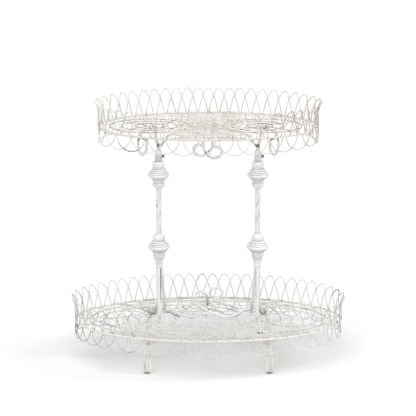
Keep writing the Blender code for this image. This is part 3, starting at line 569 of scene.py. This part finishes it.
def floorMesh(tier, oval, basket):
    random = np.random.default_rng(basket["seed"] + 2)
    height = oval[2]
    shapes = straightWires(tier, oval, basket, random) + ovalWires(tier, oval, basket)
    if tier == "upper":
        shapes += spokeWires(height, random)
    else:
        for wear, places in strayStrands:
            path = curveThrough([(x, y, height + netShape["lift"]) for x, y in places])
            shapes.append(tube(path, wires["strand"], upZ, 8, False, wear))
    return joined(shapes)


def makeBasket(tier, basket):
    oval = ovalOf(tier + "_rim", wires["rim"])
    ring = ovalOf(tier + "_floor_ring", wires["ring"])
    for name, shape, finish, slot, node in [
        ("RimWire", ovalRing(oval, wires["rimSeen"], 12), tier + "Rim", "rim_paint", "_rim"),
        ("FenceWire", fenceWire(oval, basket), tier + "Wire", "wire_paint", "_fence"),
        ("LobeWire", lobeWire(oval, basket), basket["lobePaint"], "wire_paint", "_lobes"),
        ("FloorMesh", floorMesh(tier, oval, basket), tier + "FloorWire", "wire_paint", "_floor_net"),
        ("FloorRing", ovalRing(ring, wires["ring"], 10), tier + "Ring", "wire_paint", "_floor_ring"),
    ]:
        addPiece(tier + name, shape, paint[finish], basket["body"], tier + node)


for tier, basket in baskets.items():
    makeBasket(tier, basket)
print("baskets made")


# turned pieces on the posts: height and radius as shares, top to bottom, the places and depth of fine
# grooves, and, on two of them, a painted shade all over
turnedPieces = {
    "cup": {"shares": [(1, .88), (.93, .98), (.8, 1), (.5, .97), (.25, .9), (0, .7)]},
    "lower_collar": {"shares": [
        (1, .86), (.985, .97), (.95, 1), (.88, .99), (.845, .9), (.815, .72), (.775, .72), (.755, .8),
        (.72, .83), (.64, .82), (.6, .76), (.575, .62), (.53, .61), (.51, .67), (.47, .68), (.4, .67),
        (.375, .57), (.33, .56), (.31, .61), (.26, .63), (.14, .61), (.1, .54), (0, .53)]},
    "lower_knob": {"shares": [
        (1, .55), (.98, .6), (.9, .69), (.775, .82), (.66, .94), (.6, .985), (.57, 1), (.53, 1), (.5, .975),
        (.39, .83), (.29, .68), (.2, .6), (.05, .53), (0, .51)],
        "grooves": [.9, .8, .7, .47, .38, .28], "depth": 0.0008, "shade": 0.1},
    "lower_dome": {"shares": [
        (1, .5), (.88, .57), (.75, .78), (.59, .93), (.45, .985), (.35, 1), (.2, .98), (.1, .92), (.04, .84),
        (0, .8)], "shade": 0.08},
    "upper_collar": {"shares": [
        (1, .74), (.96, .84), (.92, .97), (.85, 1), (.7, 1), (.62, .97), (.57, .86), (.53, .84), (.47, .88),
        (.38, .85), (.3, .76), (.17, .62), (0, .5)]},
    "upper_knob": {"shares": [
        (1, .55), (.97, .58), (.88, .69), (.75, .81), (.64, .93), (.58, .985), (.55, 1), (.51, 1), (.47, .97),
        (.41, .9), (.31, .73), (.21, .62), (.04, .49), (0, .48)],
        "grooves": [.965, .865, .755, .645, .47, .34, .23, .11], "depth": 0.001},
    "upper_dome": {"shares": [
        (1, .74), (.97, .82), (.88, .87), (.75, .93), (.6, .985), (.47, 1), (.3, .98), (.16, .9), (.08, .82),
        (0, .8)]},
}
# groove width; wear and painted shade in grooves and in hollows below the widest radius near; a share spared
groove = {"width": 0.016, "wear": 0.7, "near": 0.09, "hollowWear": 3.133, "spared": 0.35}
bore = {"radius": 0.0033, "cupFloor": 0.0022}
pole = 0.0001      # radius of the pinhole where a closed outline meets its axis


def spinNode(node, radii, heights, wear, finish):
    low, high = boxOf(node)
    place = ((low[0] + high[0]) / 2, (low[1] + high[1]) / 2, low[2])
    shape = turnedShape(radii, heights, place, wear)
    dressNode(node, "Turned", shape, paint[finish], "base")


def turnedPiece(kind, side):
    # radius by height, less a bell-shaped dip at each groove; wear and painted shade mark the places that lie
    # deeper than the widest radius nearby; a bore leads down again, in the cup as far as a floor
    node, shape = f"{kind}_{side}", turnedPieces[kind]
    low, high = boxOf(node)
    tall, widest = high[2] - low[2], (high[0] - low[0]) / 2
    heights, radii = np.array(shape["shares"], float).T
    level = np.linspace(0, 1, 120)
    outer = np.interp(level, heights[::-1], radii[::-1]) * widest
    cuts = np.zeros_like(level)
    for place in shape.get("grooves", []):
        cuts += bell(level, place, groove["width"])
    outer -= shape.get("depth", 0) * cuts
    near = np.abs(level[:, None] - level[None, :]) < groove["near"]
    around = np.where(near, outer[None, :], 0).max(axis=1)
    wear = groove["wear"] * cuts + groove["hollowWear"] * (around - outer) / widest - groove["spared"]
    wear = np.clip(wear, 0, 1) + shape.get("shade", 0)
    innerRadii, innerHeights = [bore["radius"]] * 2, [tall, 0]
    if kind == "cup":
        innerRadii, innerHeights = innerRadii + [pole] * 2, [tall, bore["cupFloor"], bore["cupFloor"], 0]
    spinNode(node, np.concatenate([outer, innerRadii]), np.concatenate([level * tall, innerHeights]),
             np.concatenate([wear, np.zeros(len(innerRadii))]), "castWhite")


sleeve = {"bore": 0.004, "floor": 0.003, "shoulder": 0.007, "neck": 0.0048, "chamfer": 0.0008}


def sleeveShape(side):
    # straight outer wall with a fine line and a tapered shoulder, round a bore that stops at a floor
    node = "sleeve_" + side
    low, high = boxOf(node)
    tall, wall, shoulder = high[2] - low[2], (high[0] - low[0]) / 2, sleeve["shoulder"]
    # radius, height and wear
    outline = np.array([
        (wall - sleeve["chamfer"], 0, 0.5), (wall, sleeve["chamfer"], 0.1), (wall, 0.35 * tall, 0.1),
        (wall - 0.0003, 0.36 * tall, 0.5), (wall, 0.37 * tall, 0.1), (wall, tall - shoulder, 0),
        (wall - 0.0002, tall - 0.9 * shoulder, 0.1), (sleeve["neck"] + 0.0012, tall - 0.3 * shoulder, 0),
        (sleeve["neck"], tall, 0.6), (sleeve["bore"], tall, 0.6), (sleeve["bore"], sleeve["floor"], 0),
        (pole, sleeve["floor"], 0), (pole, 0, 0)])
    spinNode(node, *outline.T, "sleeve")


shaft = {"radius": 0.0057, "lobe": 0.0006, "turns": 1.4, "spigot": 0.003, "sides": 48, "rows": 150,
         "wear": 0.11, "hollowWear": 0.35, "hollowFrom": 0.0055, "hollowDepth": 0.0005,
         # bare spots, across and up
         "chips": {"left": [((1.5, -0.115, 0.0022), (1, 0.3565, 0.0028))], "right": []}}


def twistedShaft(side):
    # two soft lobes wound round the post, between its two round spigots
    node = "shaft_" + side
    low, high = boxOf(node)
    bottom, top = boxOf("lower_dome_" + side)[1][2] + gap, boxOf("upper_collar_" + side)[0][2] - gap
    level = np.linspace(bottom, top, shaft["rows"])
    turn = turnsOf(shaft["sides"])[None, :]
    wind = 2 * math.pi * shaft["turns"] * ((level - bottom) / (top - bottom))[:, None]
    radius = shaft["radius"] + shaft["lobe"] * np.cos(2 * (turn - wind))
    spigot = np.full((2, shaft["sides"]), shaft["spigot"])
    radius = np.vstack([spigot, radius, spigot])
    level = np.concatenate([[low[2], bottom], level, [top, high[2]]])
    vertices, faces, _ = turnedShape(radius, level, ((low[0] + high[0]) / 2, 0, 0), level, False)
    # a little wear all over, and painted shade in the hollows of the twist
    hollow = np.clip((shaft["hollowFrom"] - radius) / shaft["hollowDepth"], 0, 1).ravel()
    wear = shaft["wear"] + shaft["hollowWear"] * hollow
    for across, up in shaft["chips"][side]:
        wear = wear + spot(vertices[:, 0], across) * spot(vertices[:, 2], up)
    dressNode(node, "Twisted", (vertices, faces, wear), paint["castWhite"], "base")


# place and radius, as shares of the screw's length and in metres, from its tip to the dished head's middle
screw = {
    "outline": [(0, 0.0012), (0.05, 0.0015), (0.44, 0.0015), (0.46, 0.0034), (0.5, 0.0036), (0.54, 0.0036),
                (0.92, 0.0036), (1, 0.0032), (1, 0.002), (0.94, 0.0001)],
    "headAt": 0.46, "headClear": 0.0008, "headRadius": 0.0033, "ridges": 22, "ridge": 0.0002, "sides": 88,
}


def thumbScrew(side):
    # the head stands just clear of the sleeve, and its rim carries small ridges
    node = "thumb_screw_" + side
    low, high = boxOf(node)
    places, radii = np.array(screw["outline"]).T
    shank = (boxOf("sleeve_" + side)[1][0] + screw["headClear"] - low[0]) / (high[0] - low[0])
    places = np.interp(places, [0, screw["headAt"], 1], [0, shank, 1])
    turn = turnsOf(screw["sides"])[None, :]
    ridge = screw["ridge"] * (0.5 - 0.5 * np.cos(screw["ridges"] * turn))
    radius = radii[:, None] - ridge * (radii > screw["headRadius"])[:, None]
    along = low[0] + places * (high[0] - low[0])
    vertices, faces, wear = turnedShape(radius, along, (0, 0, 0), np.zeros(len(radii)), False)
    vertices = vertices[:, [2, 0, 1]] + (low + high) / 2 * (0, 1, 1)
    dressNode(node, "Knurled", (vertices, faces, wear), screwBlack, side + "_screw")


postX = (boxOf("sleeve_right")[0][0] + boxOf("sleeve_right")[1][0]) / 2
sides = {"left": -1, "right": 1}
for side in sides:
    for kind in turnedPieces:
        turnedPiece(kind, side)
    twistedShaft(side)
    sleeveShape(side)
    thumbScrew(side)
print("posts made")


# bent bars, rods and bows: each is seated as its solid is, with more points and rounder sides
netHalf = 0.001
rimHeight = {tier: ovalOf(tier + "_rim", wires["rim"])[2] for tier in baskets}
netBottom = {tier: height - netHalf for tier, height in rimHeight.items()}
netTop = {tier: height + netHalf for tier, height in rimHeight.items()}


def dressBar(node, ending, path, radius, rounds, wear, finish, body):
    shape = tube(path, radius, acrossY, rounds, False, wear)
    dressNode(node, ending, shape, paint[finish], body)


leg = {
    "radius": 0.0025, "spread": 0.0993, "splay": 0.0257, "knee": 0.022, "loopHeight": 0.041,
    "loopHalfWidth": 0.006, "turnFrom": 0.5, "turnOver": 0.4,
    # knee as shares of splay and knee, then the foot as shares of the loop, from the leg down and round
    "kneeShares": [(0.9, 0.0, 1.0), (0.72, 0.08, 0.45), (0.4, 0.45, 0.06), (0.0, 1.0, 0.0)],
    "footShares": [(0.85, 1.1), (1.0, 0.62), (1.0, 0.22), (0.86, 0.05), (0.55, 0.0), (0.0, 0.0), (-0.55, 0.0),
                   (-0.86, 0.05), (-1.0, 0.22), (-1.0, 0.6), (-0.62, 0.9), (-0.12, 0.88), (0.05, 0.62)],
    # swollen shoulder over the loop, with wear and painted shade on it, and wear on the loop's top
    "shoulder": (1, 0.072, 0.01), "swell": 0.0011, "shoulderWear": 0.5, "loopWear": (0.25, 0.041, 0.004),
    # painted contact shadow on the soles
    "soleWear": (3.0, 0, 0.0031),
    # a darker band on the front feet's outer strand, and where that band lies across the loop
    "strandWear": {"left": (0.9, 0.016, 0.012), "right": (0.3, 0.016, 0.012)}, "strandBand": (0.4, 1.05),
}


def legBar(side, sign):
    barHeight = netBottom["lower"] - gap - leg["radius"]
    footX = postX + leg["splay"]
    half = [(footX + across * leg["loopHalfWidth"], leg["spread"], leg["radius"] + up * leg["loopHeight"])
            for across, up in leg["footShares"][::-1]]
    half += [(postX + across * leg["splay"], leg["spread"] - inwards * leg["knee"],
              barHeight - down * leg["knee"]) for across, inwards, down in leg["kneeShares"]]
    half = curveThrough(half)
    front, back = half * (sign, -1, 1), half * (sign, 1, 1)
    path = np.vstack([front, back[::-1]])
    # across runs along Y at the feet and turns to X on the level bar
    level = ramp(path[:, 2:], leg["turnFrom"] * barHeight, leg["turnOver"] * barHeight)
    across = (1 - level) * acrossY + level * np.array([1.0, 0.0, 0.0])
    height = path[:, 2]
    shoulder = spot(height, leg["shoulder"])
    # wear on the loop's top, and on the shoulder wear with painted shade under the tray
    wear = spot(height, leg["loopWear"]) + leg["shoulderWear"] * shoulder
    vertices, faces, wear = tube(path, leg["radius"] + leg["swell"] * shoulder, across, 12, False, wear)
    vertices[:, 2] = np.maximum(vertices[:, 2], 0)      # the feet stand flat
    # painted contact shadow on the front soles, and darker on the inner face of the front foot's outer strand
    front = vertices[:, 1] < 0
    wear = wear + front * spot(vertices[:, 2], leg["soleWear"])
    outwards = (np.abs(vertices[:, 0]) - footX) / leg["loopHalfWidth"]
    strand = front & (outwards > leg["strandBand"][0]) & (outwards < leg["strandBand"][1])
    wear = wear + strand * spot(vertices[:, 2], leg["strandWear"][side])
    dressNode("leg_bar_" + side, "Bent", (vertices, faces, wear), paint["leg"], "base")


rod = {
    "radius": 0.00375, "innerSpread": 0.012, "innerSetback": 0.0373, "outerSpread": 0.008,
    "outerSetback": 0.025, "scrollRadius": 0.0095, "scrollWire": 0.0032,
    # from behind the foot round the scroll: places outwards and up, as shares of its reach
    "curlShares": {
        "left": [(-0.35, 2.2), (0.35, 0.5), (1.2, 0.0), (2.3, 0.3), (2.75, 1.2), (2.2, 2.1), (1.35, 2.0),
                 (1.25, 1.3)],
        "right": [(-0.3, 1.7), (0.3, 0.35), (1.0, 0.0), (1.75, 0.45), (1.75, 1.25), (1.15, 1.6)]},
    # wear at the feet of the front, inner and outer rod; painted shade on the front rod where it faces the
    # inner one and above its foot, by where it starts and over what it grows; bands above the inner rod's
    # foot
    "footWear": {"front": (0.35, 0, 0.008), "inner": (0.2, 0, 0.012), "outer": (0.75, 0, 0.02)},
    "crevice": {"left": 1.0, "right": 0.35}, "facing": (0.35, 0.35), "upper": (0.035, 0.02),
    "bandPitch": 0.0055, "bandWear": (0.7, 0.02, 0.012),
}


def postRods(side, sign):
    post, r = sign * postX, rod["radius"]
    seat = 2 * (r + gap / 2) / math.sqrt(3)
    top, foot = boxOf("cup_" + side)[0][2] - gap, netTop["lower"] + gap
    level = np.linspace(top, foot, 40)
    path = np.stack([np.full_like(level, post), np.full_like(level, -seat), level], axis=-1)
    vertices, faces, wear = tube(path, r, acrossY, 32, False, spot(level - foot, rod["footWear"]["front"]))
    # painted shade where it faces the inner rod, on its upper two thirds
    facing = ramp(-sign * (vertices[:, 0] - post) / r, *rod["facing"])
    upper = ramp(vertices[:, 2] - foot, *rod["upper"])
    wear = wear + rod["crevice"][side] * facing * upper
    dressNode("rod_front_" + side, "Round", (vertices, faces, wear), paint["rodWhite"], "base")
    head, inner = post - sign * (r + gap), post - sign * rod["innerSpread"]
    setback = rod["innerSetback"]
    splayed = np.linspace((head, seat / 2, top - r), (inner, setback, foot + r), 70)
    path = np.vstack([(head, seat / 2, top), splayed, (inner, setback, foot)])
    up = path[:, 2] - foot
    bands = 0.5 + 0.5 * np.sin(2 * math.pi * up / rod["bandPitch"])
    wear = spot(up, rod["footWear"]["inner"]) + bands ** 3 * spot(up, rod["bandWear"])
    dressBar("rod_inner_" + side, "Round", path, r, 16, wear, "rodWhite", "base")
    wire, setback = rod["scrollWire"], rod["outerSetback"]
    head, outer = post + sign * wire, post + sign * rod["outerSpread"]
    base, reach = foot + wire, rod["scrollRadius"] - wire
    curl = [(outer + sign * out * reach, setback, base + up * reach) for out, up in rod["curlShares"][side]]
    behind = [(head, seat / 2 + share * (setback - seat / 2), top - share * (top - foot))
              for share in (0.03, 0.25, 0.5, 0.72)]
    path = np.vstack([(head, seat / 2, top), curveThrough(behind + curl)])
    wear = spot(path[:, 2] - foot, rod["footWear"]["outer"])
    dressBar("rod_outer_" + side, "Round", path, wire, 14, wear, "rodWhite", "base")


stem = {"radius": 0.0032, "lean": 0.0065, "bendDrop": 0.045, "leanShare": 0.82, "riseShare": 0.42,
        "socketFloor": 0.003,
        # swollen joint just above the sleeve: its radius, height and wear
        "joint": 0.0044, "jointTop": 0.0115, "jointWear": (1.3, 0.0085, 0.0035)}


def trayStem(side, sign):
    post, lean = sign * postX, sign * stem["lean"]
    bend = rimHeight["upper"] - stem["bendDrop"]
    low, high = boxOf("sleeve_" + side)[0][2] + stem["socketFloor"] + gap, netBottom["upper"] - gap
    sleeveTop = boxOf("sleeve_" + side)[1][2] + gap
    straight = [(post, 0, level) for level in (low, sleeveTop - 0.0001, sleeveTop)]
    path = curveThrough([(post, 0, sleeveTop + 0.0004), (post, 0, bend),
                         (post + stem["leanShare"] * lean, 0, bend + stem["riseShare"] * (high - bend)),
                         (post + lean, 0, high - stem["radius"]), (post + lean, 0, high)])
    path = np.vstack([straight, path])
    swell = np.clip(1 - (path[:, 2] - sleeveTop) / stem["jointTop"], 0, 1) * (path[:, 2] >= sleeveTop)
    radius = stem["radius"] + (stem["joint"] - stem["radius"]) * swell
    wear = spot(path[:, 2] - sleeveTop, stem["jointWear"])
    dressBar("stem_" + side, "Round", path, radius, 16, wear, "stem", "upper_tray")


brace = {"radius": 0.0024, "endDrop": 0.043, "shoulderDrop": 0.0195, "shoulderX": 0.0833,
         "riseShare": 1.6 / 2.6,
         # wear towards its ends: how much, from how far out, and over what length it grows
         "endWear": [(0.35, 0.085, 0.012), (0.8, 0.101, 0.003)]}


def trayBrace():
    end = postX - stem["radius"] - gap
    middle = netBottom["upper"] - gap - brace["radius"]
    shoulder, low = rimHeight["upper"] - brace["shoulderDrop"], rimHeight["upper"] - brace["endDrop"]
    half = np.array([(end, 0, low - 0.0012), (end - 0.004, 0, low + 0.0012),
                     ((end + brace["shoulderX"]) / 2, 0, (low + shoulder) / 2 - 0.0005),
                     (brace["shoulderX"], 0, shoulder),
                     (brace["shoulderX"] / 2, 0, shoulder + brace["riseShare"] * (middle - shoulder))])
    path = curveThrough(np.vstack([half * (-1, 1, 1), (0, 0, middle), half[::-1]]))
    away = np.abs(path[:, 0])
    wear = sum(amount * ramp(away, start, length) for amount, start, length in brace["endWear"])
    dressBar("upper_brace", "Round", path, brace["radius"], 12, wear, "stem", "upper_tray")


bow = {
    "radius": 0.0027,
    # each strand by its side: places across and below the upper rim, from its top round its loop
    "upper": {
        "left": [(-0.0077, 0.0072), (-0.01, 0.02), (-0.0092, 0.0294), (-0.0106, 0.0381), (-0.0105, 0.046),
                 (-0.0072, 0.056), (-0.0024, 0.064), (0.0058, 0.0702), (0.0146, 0.0716), (0.0241, 0.0679),
                 (0.0296, 0.0592), (0.0274, 0.0508), (0.0199, 0.046), (0.013, 0.0482)],
        "right": [(0.0077, 0.0072), (0.009, 0.02), (0.0078, 0.0294), (0.0094, 0.0381), (0.0098, 0.0445),
                  (0.0065, 0.0521), (-0.001, 0.0603), (-0.007, 0.0655), (-0.016, 0.0682), (-0.0258, 0.065),
                  (-0.0316, 0.057), (-0.0309, 0.0478), (-0.0244, 0.0428), (-0.0169, 0.0436),
                  (-0.0118, 0.0478)]},
    # the same for the lower bow, above the lower rim, down to where the strand meets the floor
    "lower": {
        "left": [(-0.0016, 0.033), (-0.0016, 0.047), (-0.0038, 0.056), (-0.0085, 0.0625), (-0.0169, 0.0655),
                 (-0.0262, 0.061), (-0.029, 0.0524), (-0.0271, 0.0421), (-0.0189, 0.0318), (-0.009, 0.024),
                 (0.0069, 0.016)],
        "right": [(0.0069, 0.05), (0.0034, 0.059), (0.007, 0.0685), (0.017, 0.0722), (0.0274, 0.069),
                  (0.0312, 0.061), (0.025, 0.0515), (0.0115, 0.044), (-0.0005, 0.0345), (-0.007, 0.021)]},
    # the rest lies on the floor: shares of the way to the far post, of the setback and of the lift, and how
    # far it keeps to its own plane
    "swagShares": [(0.32, 0.0, 0.4, 1.0), (0.48, 0.1, 0.2, 1.0), (0.66, 0.4, 0.6, 0.3),
                   (0.86, 0.75, 2.2, 0.0)],
    "swagLift": 0.005, "endLift": 0.023, "endSetback": 0.84,
    # wear where the upper strands cross, by depth and across, and along the first stretch of the lower ones
    "crossWear": [(0.7, 0.058, 0.004), (1, -0.002, 0.006)], "stemWear": {"left": 0.62, "right": 0.1},
    "stemReach": 0.024,
}


def bows(side, sign):
    # each strand lies in a plane of its own, just clear of the other's
    r = bow["radius"]
    plane = sign * (r + gap)
    path = curveThrough([(across, plane, rimHeight["upper"] - down) for across, down in bow["upper"][side]])
    byDepth, byPlace = bow["crossWear"]
    wear = spot(rimHeight["upper"] - path[:, 2], byDepth) * spot(path[:, 0], byPlace)
    dressBar("upper_bow_" + side, "", path, r, 12, wear, "loop", "upper_tray")
    points = [(across, plane, rimHeight["lower"] + up) for across, up in bow["lower"][side]]
    rest = netTop["lower"] + gap + r
    rodX, setback = postX - rod["innerSpread"], rod["innerSetback"]
    for along, back, lift, inPlane in bow["swagShares"]:
        points.append((-sign * along * rodX, inPlane * plane + back * setback, rest + lift * bow["swagLift"]))
    points.append((-sign * (rodX - rod["radius"] - gap), bow["endSetback"] * setback, rest + bow["endLift"]))
    path = curveThrough(points)
    runs = np.concatenate([[0.0], np.cumsum(np.linalg.norm(np.diff(path, axis=0), axis=1))])
    wear = bow["stemWear"][side] * np.exp(-(runs / bow["stemReach"]) ** 4)
    dressBar("lower_bow_" + side, "", path, r, 12, wear, "bow", "base")


loop = {
    "radius": 0.0025, "x": 0.144, "halfWidth": 0.0096, "drop": 0.0655, "wear": (0.8, 0.03, 0.003),
    # from the top down the outer side, round the bottom and up the inner side to close the loop
    "shares": [(-0.3, 0.22), (-0.92, 0.5), (-0.95, 0.68), (-0.8, 0.86), (0.0, 1.0), (0.8, 0.86), (0.95, 0.66),
               (0.9, 0.52), (0.45, 0.45), (-0.15, 0.42)],
}


def sideLoop(side, sign):
    top = netBottom["upper"] - gap - loop["radius"]
    start = postX + stem["lean"] + stem["radius"] + gap
    points = [(sign * start, 0, top), (sign * (start + loop["halfWidth"]), 0, top - loop["radius"])]
    points += [(sign * (loop["x"] - across * loop["halfWidth"]), 0, rimHeight["upper"] - down * loop["drop"])
               for across, down in loop["shares"]]
    path = curveThrough(points)
    wear = spot(rimHeight["upper"] - path[:, 2], loop["wear"])
    dressBar("side_loop_" + side, "", path, loop["radius"], 12, wear, "loop", "upper_tray")


for side, sign in sides.items():
    legBar(side, sign)
    postRods(side, sign)
    trayStem(side, sign)
    bows(side, sign)
    sideLoop(side, sign)
trayBrace()
print("bars and bows made")


# studio: camera fitted to the photograph, pale floor and soft lights
view = {"focalPixels": 2434.4, "photoPixels": 416, "distance": 5.3659, "elevation": math.radians(15.844),
        "aim": (-0.0006, 0.0, 0.3511)}


def makeCamera():
    data = bpy.data.cameras.new("photoCamera")
    data.sensor_width = 36
    data.lens = view["focalPixels"] / view["photoPixels"] * data.sensor_width
    camera = intoScene("photoCamera", data)
    back = Vector((0, -math.cos(view["elevation"]), math.sin(view["elevation"])))
    camera.location = Vector(view["aim"]) + view["distance"] * back
    camera.rotation_euler = (math.pi / 2 - view["elevation"], 0, 0)
    bpy.context.scene.camera = camera


# the floor's painted shadow: the middle and half sizes of its oval, its grey near the stand and far out,
# where it fades between them, and where the floor fades to white for camera rays
floorLook = {"middle": (0.0, 0.09, 0.0), "halfWidth": 0.485, "halfDepth": 0.33, "near": 0.768, "far": 0.915,
             "softFrom": 0.22, "softTo": 0.88, "whiteFrom": 0.72, "whiteTo": 1.0}
worldLight = 0.45
# strength is what each sun adds to a white surface that faces it
suns = {
    "keySun": {"from": (-0.15, -0.8, 1.0), "angle": 50, "strength": 0.64},
    "sideSun": {"from": (1.0, -0.1, 0.8), "angle": 9, "strength": 0.27},
}


def makeFloor():
    # pale floor that keeps the shadow, with a painted shadow besides: greyer in a soft oval round the stand;
    # further out it glows plain white for camera rays, over any shadow there
    mesh = bpy.data.meshes.new("studioFloor")
    mesh.from_pydata([(-9, -9, 0), (9, -9, 0), (9, 14, 0), (-9, 14, 0)], [], [(0, 1, 2, 3)])
    material, tree, shader = newMaterial("paleFloor")
    place = addNode(tree, "TexCoord")["Object"]
    shift = addNode(tree, "VectorMath", {0: place, 1: floorLook["middle"]}, operation="SUBTRACT")
    size = (1 / floorLook["halfWidth"], 1 / floorLook["halfDepth"], 0)
    scale = addNode(tree, "VectorMath", {0: shift[0], 1: size}, operation="MULTIPLY")
    away = addNode(tree, "VectorMath", {0: scale[0]}, operation="LENGTH")["Value"]
    # painted shadow: the near grey round the stand fading out to the far grey
    shadowFade = mapRange(tree, away, (floorLook["softFrom"], floorLook["softTo"]), interpolation_type="SMOOTHSTEP")
    shadowGreys = {end: (floorLook[tone],) * 3 + (1,) for end, tone in (("A", "near"), ("B", "far"))}
    tone = addNode(tree, "Mix", {"Factor": shadowFade, **shadowGreys}, data_type="RGBA")
    feed(tree, shader, {"Roughness": 0.9, "Specular IOR Level": 0, "Base Color": tone["Result"]})
    fade = mapRange(tree, away, (floorLook["whiteFrom"], floorLook["whiteTo"]))
    share = combine(tree, "MULTIPLY", fade, addNode(tree, "LightPath")["Is Camera Ray"])
    white = addNode(tree, "Emission")
    both = addNode(tree, "MixShader", {0: share, 1: shader.outputs[0], 2: white[0]})
    feed(tree, tree.nodes["Material Output"], {"Surface": both[0]})
    mesh.materials.append(material)
    intoScene("studioFloor", mesh)


def makeWorld():
    # even soft light; white where the camera or a reflection sees it
    world = bpy.data.worlds.new("studioWorld")
    bpy.context.scene.world = world
    world.use_nodes = True
    tree = world.node_tree
    rays = addNode(tree, "LightPath")
    glossy = combine(tree, "MAXIMUM", rays["Is Glossy Ray"], rays["Is Transmission Ray"])
    seen = combine(tree, "MAXIMUM", rays["Is Camera Ray"], glossy)
    strength = mapRange(tree, seen, target=(worldLight, 1.0))
    feed(tree, tree.nodes["Background"], {"Strength": strength, "Color": (1, 1, 1, 1)})


def makeSun(name, sun):
    data = bpy.data.lights.new(name, "SUN")
    data.energy = math.pi * sun["strength"]
    data.angle = math.radians(sun["angle"])
    light = intoScene(name, data)
    light.rotation_euler = (-Vector(sun["from"])).to_track_quat("-Z", "Y").to_euler()


makeCamera()
makeFloor()
makeWorld()
for name, sun in suns.items():
    makeSun(name, sun)
bpy.context.scene.view_settings.view_transform = "Standard"
print("studio made")
